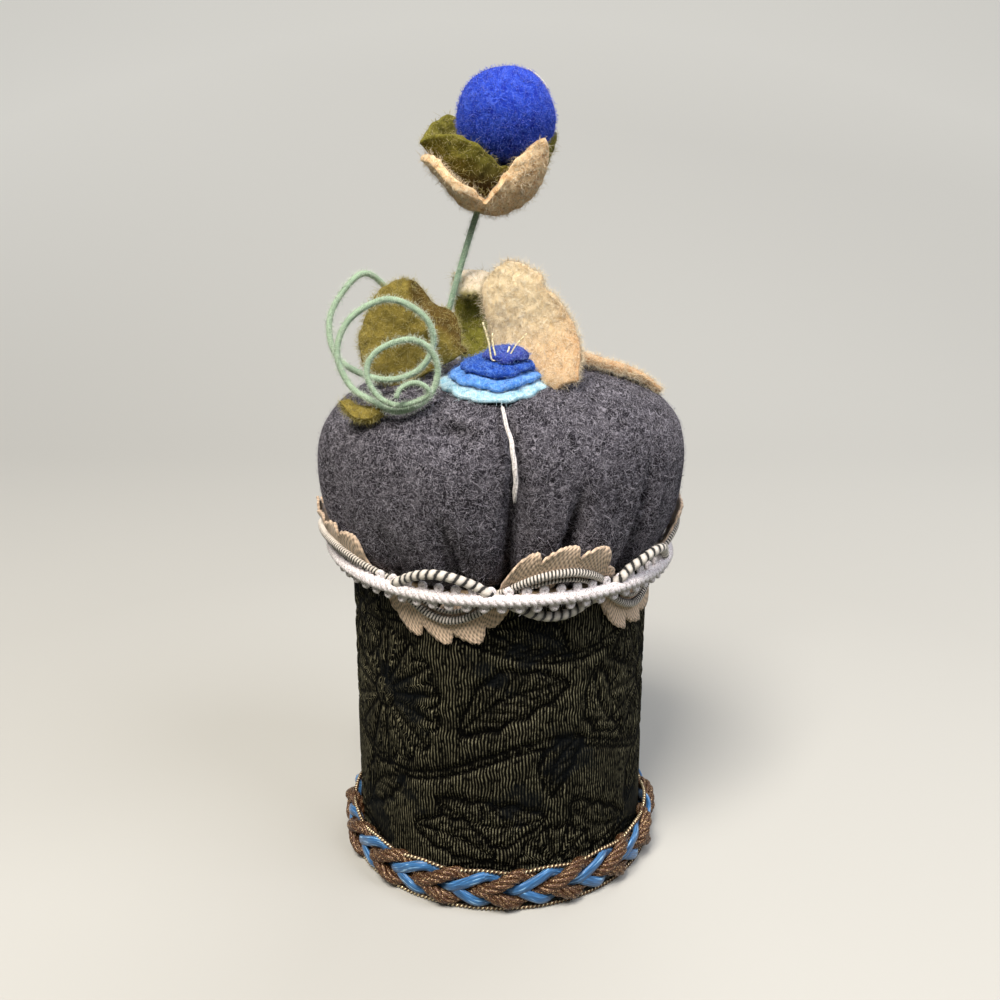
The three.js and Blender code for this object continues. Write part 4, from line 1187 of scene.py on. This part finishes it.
class PINCUSHION_OT_leaves(Work, bpy.types.Operator):
    """Five cut felt leaves on the crown"""

    bl_idname = "pincushion.leaves"
    bl_label = "Leaves"

    def build(self, sizes, colours):
        mustard = felt(
            "wool_felt_mustard",
            *shades(colours.mustard, 0.5, 1.7),
            # The dark brown second tone is painted shade, on the side of the left leaf that folds away from
            # the light.
            second=shades(linear(0x55431C), 0.45, 1.5),
        )
        olive = felt(
            "wool_felt_olive_leaf",
            *shades(linear(0x77742E), 0.4, 1.5),
            second=(linear(0xE4CCA8), linear(0xFBEAD0), linear(0xFFF8EC)),
        )
        tan = felt(
            "wool_felt_tan_leaf",
            linear(0xD0B88E),
            linear(0xE6D0A8),
            linear(0xFFF4DC),
            # The darker tan second tone is painted shade at the base of the right leaf; the strip takes it all
            # over.
            second=(linear(0xA87C54), linear(0xC29A70), linear(0xE0C4A0)),
            fibre=0.7,
            lines=0.7,
        )

        def oval(u, wide, base):
            """Half width along a leaf, with a blunt foot."""
            return 0.8 + wide * np.maximum(base * (1 - u), np.sin(np.pi * u**0.9) ** 0.75)

        def rounded(u):
            """Share of the width that a round tip leaves."""
            return np.sqrt(1 - 0.8 * np.clip((u - 0.86) / 0.14, 0, 1) ** 2)

        self.leaf(
            "leaf_left", mustard, "wool_felt_olive",
            [
                crown(-14.5, -14.5, 0.9), crown(-17.4, -12.6, 7), crown(-18.8, -10.9, 13),
                crown(-18, -9.8, 18.4),
            ],
            (1, 0.05, 0),
            lambda u: (
                oval(u, 9.2, 0.5) * (1 - 0.14 * smooth(u, 0.45, 0.7)) + 1.8 * (1 - smooth(u, 0.2, 0.5)),
                oval(u, 8.2, 0.5) * (1 - 0.2 * smooth(u, 0.5, 0.9))
                + 1.5 * (1 - u) + 2.6 * (1 - smooth(u, 0.05, 0.4)),
            ),
            lambda u, v: 3.6 * np.abs(v - 0.9 * (1 - u) ** 1.2) - 2 + 0.35 * np.sin(7 * u + 3 * v),
            # Painted shade: right of its fold the leaf takes the dark brown tone.
            lambda u, v: smooth(v - 0.9 * (1 - u) ** 1.2, -0.06, 0.12),
        )
        self.leaf(
            "leaf_low", mustard, "wool_felt_olive",
            [crown(-22, -25.4, 1.2), crown(-24.4, -25.2, 1.4), crown(-27, -24.2, 3), crown(-29.6, -22.4, 5.8)],
            (0.2, -1, -0.45),
            lambda u: (oval(u, 1.3, 0.8), oval(u, 1.1, 0.8)),
            lambda u, v: -0.2 * v * v,
            lambda u, v: 0 * u,
        )
        self.leaf(
            "leaf_back", olive, "wool_felt_olive",
            [
                crown(-5.2, -4, 0.5), crown(-6.2, -1.4, 7.5), crown(-6.4, -0.6, 14), crown(-6.2, -1.8, 18.3),
                crown(-6.2, -3.8, 17.6), crown(-6.2, -5.2, 14.2),
            ],
            (1, 0, 0),
            lambda u: (oval(0.2 + 0.6 * u, 2.2, 0.7), oval(0.2 + 0.6 * u, 4, 0.7)),
            lambda u, v: -0.5 * v * v,
            lambda u, v: smooth(u + 0.05 * np.sin(5 * v + 1), 0.5, 0.64) - 0.9 * smooth(u, 0.9, 1),
        )
        self.leaf(
            "leaf_right", tan, "wool_felt_tan",
            [crown(12.2, -22.6, 1), crown(8.8, -15.8, 8), crown(3.2, -12, 15.6), crown(0.2, -9.4, 20.4)],
            (1, -0.6, -0.12),
            lambda u: (
                np.interp(u, [0, 0.12, 0.2, 0.3, 0.4, 0.5, 0.68, 1], [2.2, 4, 7, 11, 12.4, 11.6, 8.4, 4.8])
                * rounded(u),
                (4 + 2.4 * np.sin(np.pi * u) - 1.4 * u**2 - 1.8 * (1 - u) ** 9) * rounded(u)
                + 0.7 * np.exp(-(((u - 0.66) / 0.05) ** 2)) - 0.6 * np.exp(-(((u - 0.55) / 0.05) ** 2)),
            ),
            lambda u, v: 1.2 * v * v * (1 - u),
            # Painted shade darkens the leaf toward its base; it is also a little darker along its right edge.
            lambda u, v: 0.3 * smooth(v, 0.55, 1) + 0.7 * (1 - smooth(u, 0.15, 0.55)),
        )
        self.leaf(
            "leaf_strip", tan, "wool_felt_tan",
            [
                crown(11, -4, 9.3), crown(12.4, -4, 6.3), crown(14.8, -4, 3.6), crown(19.9, -4, 2.2),
                crown(26.9, -4, 1.9), crown(30.3, -4, 1.5), crown(33, -4, 1),
            ],
            (0, 1, 0),
            lambda u: (oval(u, 2.6, 1), oval(u, 2.6, 1)),
            lambda u, v: -0.4 * v * v,
            lambda u, v: 0 * u + 1,
        )

    def leaf(self, name, wool, slot, spine, side, half, cup, tone):
        """Cut felt shaped along a spine: half widths and cup across it, and which tone shows where."""
        rows, columns, steps = 40, 24, 400
        piece = added(
            name + "_felt", bpy.ops.mesh.primitive_grid_add,
            x_subdivisions=columns, y_subdivisions=rows, size=2,
        )
        flat = places(piece)
        v, u = flat[:, 0], (flat[:, 1] + 1) / 2
        line = spline(spine, steps + 1)
        tangents = directions(line)
        at = np.rint(u * steps).astype(int)
        middle, tangent = line[at], tangents[at]
        side = np.array(side, float)
        lateral = side - tangent * (tangent @ side)[:, None]
        lateral /= np.linalg.norm(lateral, axis=1, keepdims=True)
        up = np.cross(tangent, lateral)
        left, right = half(u)
        out = np.where(v < 0, v * left, v * right)
        co = middle + lateral * out[:, None] + up * cup(u, v)[:, None]
        put(piece, co * MM)
        marked(piece, "tone", tone(u, v))
        # Near 1 along the cut edge.
        marked(piece, "rim", np.maximum(np.abs(v), 2 * u - 1) ** 10)
        applied(piece, "SOLIDIFY", thickness=LEAF_FELT * MM, offset=0)
        subdivided(piece, 1)
        lumpy(piece, 0.3, 1.6, len(name))
        dressed(piece, wool, slot, name)


# The flower on its stem, in millimetres. The stem ends inside the calyx.
STEM_ROOT = np.array(crown(-15, -6, -7))
STEM_LONG = 49.4
STEM_R = 0.62
TENDRIL_R = 0.6
STEM_IN_CALYX = 11
BALL_R = 9.6
FLOWER_AXIS = np.array([0.278, 0, 0.96]) / math.hypot(0.278, 0.96)
STEM_TIP = STEM_ROOT + FLOWER_AXIS * STEM_LONG
CALYX_BASE = STEM_TIP - FLOWER_AXIS * STEM_IN_CALYX
BALL_CENTRE = CALYX_BASE + FLOWER_AXIS * 2.04 * BALL_R


class PINCUSHION_OT_wires(Work, bpy.types.Operator):
    """Flower stem and coiled tendril, both thread-wound wire"""

    bl_idname = "pincushion.wires"
    bl_label = "Wires"

    def build(self, sizes, colours):
        coated(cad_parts["stem_wire"], drawn_steel("drawn_steel_wire"))

        u = np.linspace(0, 1, 120)[:, None]
        path = STEM_ROOT + (STEM_TIP - STEM_ROOT) * u + np.array([-0.8, 0, 0]) * np.sin(np.pi * u)
        turns = round(run_length(path) / (sizes.wrap / MM))
        stem = cord("stem_thread", path, STEM_R, 10)
        thread = wound("wound_thread_stem", linear(0x86A287), turns)
        dressed(stem, thread, "green_wrapping_thread", "stem_wrap")

        path = self.tendril_path()
        turns = round(run_length(path) / (sizes.wrap / MM))
        taper = TENDRIL_R * (1 - 0.25 * np.linspace(0, 1, len(path)) ** 6)
        coil = cord("tendril_thread", path, taper, 10)
        thread = wound("wound_thread_tendril", colours.green, turns)
        dressed(coil, thread, "green_wrapping_thread", "tendril")

    def tendril_path(self):
        """One wire from its root in the crown through a coil that shrinks toward the front."""
        root = np.array(crown(-16.5, -3.5, -6))
        start = root + np.array([(0, 0, 0), (-0.2, 0, 7.5), (-1.6, -0.6, 15.5)])
        coil = [
            (-22.3, -6.5, 123.0), (-26.9, -9.5, 126.4), (-32.1, -12.0, 120.7), (-33.2, -14.0, 115.2),
            (-30.7, -15.8, 109.7), (-22.8, -17.5, 106.6), (-15.8, -18.5, 108.4), (-12.6, -19.0, 113.7),
            (-14.3, -19.5, 118.9), (-20.9, -20.3, 122.1), (-28.0, -21.0, 118.6), (-30.6, -22.0, 112.4),
            (-28.2, -23.0, 106.2), (-23.4, -26.0, 103.7), (-18.6, -29.1, 102.3), (-13.2, -28.0, 104.7),
            (-11.3, -27.5, 110.0), (-13.4, -28.0, 114.3), (-17.2, -28.5, 115.4), (-22.5, -29.0, 113.2),
            (-24.2, -29.5, 109.5), (-22.2, -30.0, 105.3), (-18.0, -30.5, 103.7), (-12.6, -31.0, 105.9),
            (-14.8, -31.5, 108.1), (-17.8, -32.0, 107.2), (-18.7, -32.5, 105.1),
        ]
        knots = np.vstack([start, coil])
        # The line through the knots is softened, so the wire has no kinks.
        count, reach = 700, 8
        line = even(spline(knots, 8 * len(knots)), count)
        window = np.hanning(2 * reach + 1)
        padded = np.vstack([np.repeat(line[:1], reach, 0), line, np.repeat(line[-1:], reach, 0)])
        soft = [np.convolve(padded[:, k], window / window.sum(), "valid") for k in range(3)]
        return even(np.stack(soft, -1), count)


class PINCUSHION_OT_flower(Work, bpy.types.Operator):
    """Felted ball in its two-ply calyx"""

    bl_idname = "pincushion.flower"
    bl_label = "Flower"

    # Turn from the front, and the bowl's opening angle 20 mm up it.
    bowl = (
        (0, 7), (17, 6), (25, 0), (36, 17), (45, 24), (57, 29), (80, 30), (100, 32), (150, 33), (180, 34),
        (200, 36), (215, 39), (235, 41.5), (250, 45), (262, 51), (272, 57), (290, 47.4), (300, 41.4),
        (310, 34.6), (325, 30), (340, 21),
    )
    # Turn, length and outward curl of each ply along its rim.
    outer_rim = (
        (0, 6, 0), (8, 5.5, 0), (16, 8, 0), (25, 11.8, 0), (36, 15.1, 0), (45, 17.5, 0), (57, 19.8, 0),
        (68, 17.6, 0), (78, 14.8, 0), (90, 12.6, 0), (102, 11.5, 0), (125, 15.5, 0), (147, 18, 0),
        (170, 15, 0), (192, 11.5, 0), (215, 15, 0), (237, 16.5, 0), (255, 15, 0), (270, 15.4, 0),
        (285, 15.3, 4), (300, 15.4, 10), (315, 14.8, 18), (335, 12.4, 26), (350, 8.4, 12),
    )
    lining_rim = (
        (0, 12.6, 0), (17, 11.6, 0), (36, 12.5, 0), (57, 17, 0), (80, 20, 0), (100, 22, 0), (120, 21.5, 0),
        (150, 18.5, 0), (180, 18, 0), (200, 20, 0), (215, 21.8, 0), (235, 22.4, 0), (250, 20.5, 0),
        (262, 18.6, 0), (272, 17.7, 0), (290, 17.6, 0), (300, 17, 0), (310, 16.8, 0), (325, 15.8, 0),
        (340, 14.6, 0),
    )

    def build(self, sizes, colours):
        tan = felt(
            "wool_felt_tan_calyx", linear(0xA87848), tuple(colours.tan), linear(0xFFEFD0), lines=0.7
        )
        olive = felt(
            "wool_felt_olive_calyx", *shades(colours.olive, 0.45, 1.8),
            # The dark brown second tone is painted shade deep in the cup.
            second=shades(linear(0x3E3016), 0.5, 1.8),
        )
        outer = self.ply("calyx_tan_ply", self.outer_rim, 2.1, 1.5, 1.6, 21)
        dressed(outer, tan, "wool_felt_tan", "calyx_outer")
        lining = self.ply("calyx_olive_ply", self.lining_rim, 4.8, 0, 1, 22)
        dressed(lining, olive, "wool_felt_olive", "calyx_lining")

        ball = added(
            "felted_ball", bpy.ops.mesh.primitive_uv_sphere_add,
            segments=128, ring_count=64, radius=BALL_R * MM,
        )
        # Felted balls are a little flat.
        put(ball, places(ball) * (1, 1, 0.965) + (BALL_CENTRE - (0, 0, 0.3)) * MM)
        lumpy(ball, 0.6, 8, 31)
        lumpy(ball, 0.1, 0.9, 32)
        wool = felt("felted_wool_blue", linear(0x13208C), tuple(colours.ball), linear(0x5C7AF0))
        dressed(ball, wool, "wool_felt_blue", "bud_ball")

        a = np.radians(np.linspace(26, 58, 40))
        way = np.stack([np.sin(a), np.full(40, 0.12), np.cos(a)], -1)
        way /= np.linalg.norm(way, axis=1, keepdims=True)
        thread = cord("bud_gold_thread", BALL_CENTRE + way * (BALL_R - 0.02), 0.15, 6)
        dressed(thread, gold_yarn("gold_metallic_strand"), "gold_thread", "bud_thread")

    def ply(self, name, rim, start, inset, thick, seed):
        """Four sepals cut from one piece of felt; the front left one is thrown back."""
        piece = added(name, bpy.ops.mesh.primitive_grid_add, x_subdivisions=144, y_subdivisions=24, size=2)
        flat = places(piece)
        phi, u = (flat[:, 0] + 1) * 180, (flat[:, 1] + 1) / 2
        turns, lengths, curls = np.array(rim).T
        s = start + (np.interp(phi, turns, lengths, period=360) - start) * u
        inset = inset * smooth(s, 1, 4.5)
        lean = np.interp(phi, *np.array(self.bowl).T, period=360)
        angle = 50 - 12 * np.exp(-((s / 4) ** 2)) + (lean - 50) * (s / 20) ** 2
        angle = angle - 5 * np.exp(-((off_angle(phi, 52) / 36) ** 2))
        angle = angle + np.interp(phi, turns, curls, period=360) * u**1.5
        angle = np.radians(angle)
        across = s * np.sin(angle) + inset * np.cos(angle)
        along = s * np.cos(angle) - inset * np.sin(angle) + 0.3
        a = np.radians(phi)
        right = np.array([FLOWER_AXIS[2], 0, -FLOWER_AXIS[0]])
        front = np.array([0, -1, 0])
        co = CALYX_BASE + FLOWER_AXIS * along[:, None]
        co = co + right * (across * np.sin(a))[:, None] + front * (across * np.cos(a))[:, None]
        put(piece, co * MM)
        # Painted shade: deep in the cup, near the stalk, the olive lining takes its dark brown tone; the tan
        # felt has no second tone.
        marked(piece, "tone", 1 - smooth(s, 8, 14))
        edited(piece, (bpy.ops.mesh.remove_doubles, {"threshold": 0.01 * MM}))
        applied(piece, "SOLIDIFY", thickness=thick * MM, offset=0)
        subdivided(piece, 1)
        lumpy(piece, 0.36, 1.8, seed)
        return piece


class PINCUSHION_OT_fibres(Work, bpy.types.Operator):
    """Loose wool fibres that stand off the felt"""

    bl_idname = "pincushion.fibres"
    bl_label = "Loose fibres"

    def build(self, sizes, colours):
        reach, first_seed = sizes.fibre / MM, 40
        # Felt they stand on, how many, share of the length, how far they lie down, colour and slot.
        sets = (
            ("ball_fibres", ("felted_ball",), 7000, 1.0, 0.6, 0x4560E0, "wool_felt_blue"),
            (
                "tan_fibres", ("calyx_tan_ply", "leaf_right_felt", "leaf_strip_felt"),
                13000, 1.8, 0.5, 0xECDCBC, "wool_felt_tan",
            ),
            (
                "olive_fibres", ("calyx_olive_ply", "leaf_left_felt", "leaf_low_felt", "leaf_back_felt"),
                11000, 1.5, 0.5, 0xB0A45C, "wool_felt_olive",
            ),
            ("charcoal_fibres", ("cushion_felt",), 18000, 1.7, 0.85, 0xAAA6B2, "wool_felt_charcoal"),
            ("pale_fibres", ("rosette_pale",), 3200, 1.3, 0.5, 0xCFE6F0, "wool_felt_pale_blue"),
            (
                "blue_fibres", ("rosette_cornflower", "rosette_royal", "rosette_indigo"),
                4200, 1.0, 0.5, 0x6A9AE6, "wool_felt_cornflower",
            ),
            (
                "thread_fibres", ("tendril_thread", "stem_thread"),
                9000, 0.9, 0.3, 0xDCE8D6, "green_wrapping_thread",
            ),
            ("picot_fibres", ("picot_loops",), 5000, 0.6, 0.3, 0xF0EAEC, "white_picot_braid"),
        )
        for k, (name, sources, count, share, lay, code, slot) in enumerate(sets):
            draws = np.random.default_rng(first_seed + k)
            hairs = self.scatter(name, sources, count, share * reach, lay, draws)
            # Loose wool: pale and matt, with a soft bloom against the dark.
            wool = material(
                "loose_" + name, Base_Color=opaque(linear(code)), Roughness=0.9, Sheen_Weight=0.3
            )[0]
            dressed(hairs, wool, slot)

    def scatter(self, name, sources, count, reach, lay, draws):
        """Thin closed slivers rooted on the sources' faces, standing or laid down."""
        spots, ways, areas = [], [], []
        for source in sources:
            mesh = bpy.data.objects[source].data
            n = len(mesh.polygons)
            centre, normal, area = np.empty(3 * n), np.empty(3 * n), np.empty(n)
            for key, values in (("center", centre), ("normal", normal), ("area", area)):
                mesh.polygons.foreach_get(key, values)
            if "rim" in mesh.attributes:
                # A cut edge sheds more fibres than the face.
                rim, first = np.empty(len(mesh.vertices)), np.empty(n, int)
                mesh.attributes["rim"].data.foreach_get("value", rim)
                corners = np.empty(len(mesh.loops), int)
                mesh.loops.foreach_get("vertex_index", corners)
                mesh.polygons.foreach_get("loop_start", first)
                area = area * (1 + 5 * rim[corners[first]])
            spots.append(centre.reshape(-1, 3))
            ways.append(normal.reshape(-1, 3))
            areas.append(area)
        spots, ways, areas = np.vstack(spots), np.vstack(ways), np.concatenate(areas)
        pick = draws.choice(len(areas), count, p=areas / areas.sum())
        root, up = spots[pick] / MM, ways[pick]
        root = root + draws.normal(0, 0.15, root.shape)
        lean = draws.normal(0, 1, root.shape)
        lean -= up * (lean * up).sum(1, keepdims=True)
        lean /= np.linalg.norm(lean, axis=1, keepdims=True)
        long = reach * draws.uniform(0.35, 1, (count, 1)) ** 1.5
        slant = draws.uniform(0.4, 1.6, (count, 1))
        middle = root + long * 0.5 * (mix(1, 0.35, lay) * up + mix(0.5, 1, lay) * slant * lean)
        tip = root + long * (mix(0.75, 0.12, lay) * up + slant * lean)
        across = np.cross(up, lean)
        thick = 0.032
        rings = []
        for spot, size in ((root - 0.1 * up, thick), (middle, 0.8 * thick)):
            for turn in (0, 2.094, 4.189):
                rings.append(spot + size * (math.cos(turn) * across + math.sin(turn) * lean))
        verts = np.stack([*rings, tip], 1).reshape(-1, 3) * MM
        faces = [(2, 1, 0), (0, 1, 4, 3), (1, 2, 5, 4), (2, 0, 3, 5), (3, 4, 6), (4, 5, 6), (5, 3, 6)]
        mesh = bpy.data.meshes.new(name)
        mesh.from_pydata(verts, [], [tuple(7 * k + i for i in face) for k in range(count) for face in faces])
        obj = bpy.data.objects.new(name, mesh)
        bpy.context.scene.collection.objects.link(obj)
        return obj


BUILDERS = (
    PINCUSHION_OT_stage,
    PINCUSHION_OT_drum,
    PINCUSHION_OT_foot_plait,
    PINCUSHION_OT_cushion,
    PINCUSHION_OT_neck_trim,
    PINCUSHION_OT_rosette,
    PINCUSHION_OT_leaves,
    PINCUSHION_OT_wires,
    PINCUSHION_OT_flower,
    PINCUSHION_OT_fibres,
)


class PINCUSHION_PT_panel(bpy.types.Panel):
    """Lists the builders and their settings"""

    bl_idname = "PINCUSHION_PT_panel"
    bl_label = "Pincushion"
    bl_space_type = "VIEW_3D"
    bl_region_type = "UI"
    bl_category = "Pincushion"

    def draw(self, context):
        for group in (context.scene.pincushion_sizes, context.scene.pincushion_colours):
            column = self.layout.column(align=True)
            for key in group.__annotations__:
                column.prop(group, key)
        for builder in BUILDERS:
            self.layout.operator(builder.bl_idname)


CLASSES = (PincushionSizes, PincushionColours, *BUILDERS, PINCUSHION_PT_panel)


def register():
    for cls in CLASSES:
        bpy.utils.register_class(cls)
    bpy.types.Scene.pincushion_sizes = bpy.props.PointerProperty(type=PincushionSizes)
    bpy.types.Scene.pincushion_colours = bpy.props.PointerProperty(type=PincushionColours)


def unregister():
    del bpy.types.Scene.pincushion_colours
    del bpy.types.Scene.pincushion_sizes
    for cls in reversed(CLASSES):
        bpy.utils.unregister_class(cls)


def main():
    register()
    bpy.ops.pincushion.stage()
    bpy.ops.pincushion.drum()
    bpy.ops.pincushion.foot_plait()
    bpy.ops.pincushion.cushion()
    bpy.ops.pincushion.neck_trim()
    bpy.ops.pincushion.rosette()
    bpy.ops.pincushion.leaves()
    bpy.ops.pincushion.wires()
    bpy.ops.pincushion.flower()
    bpy.ops.pincushion.fibres()
    clear()
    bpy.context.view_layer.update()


if __name__ == "__main__":
    main()
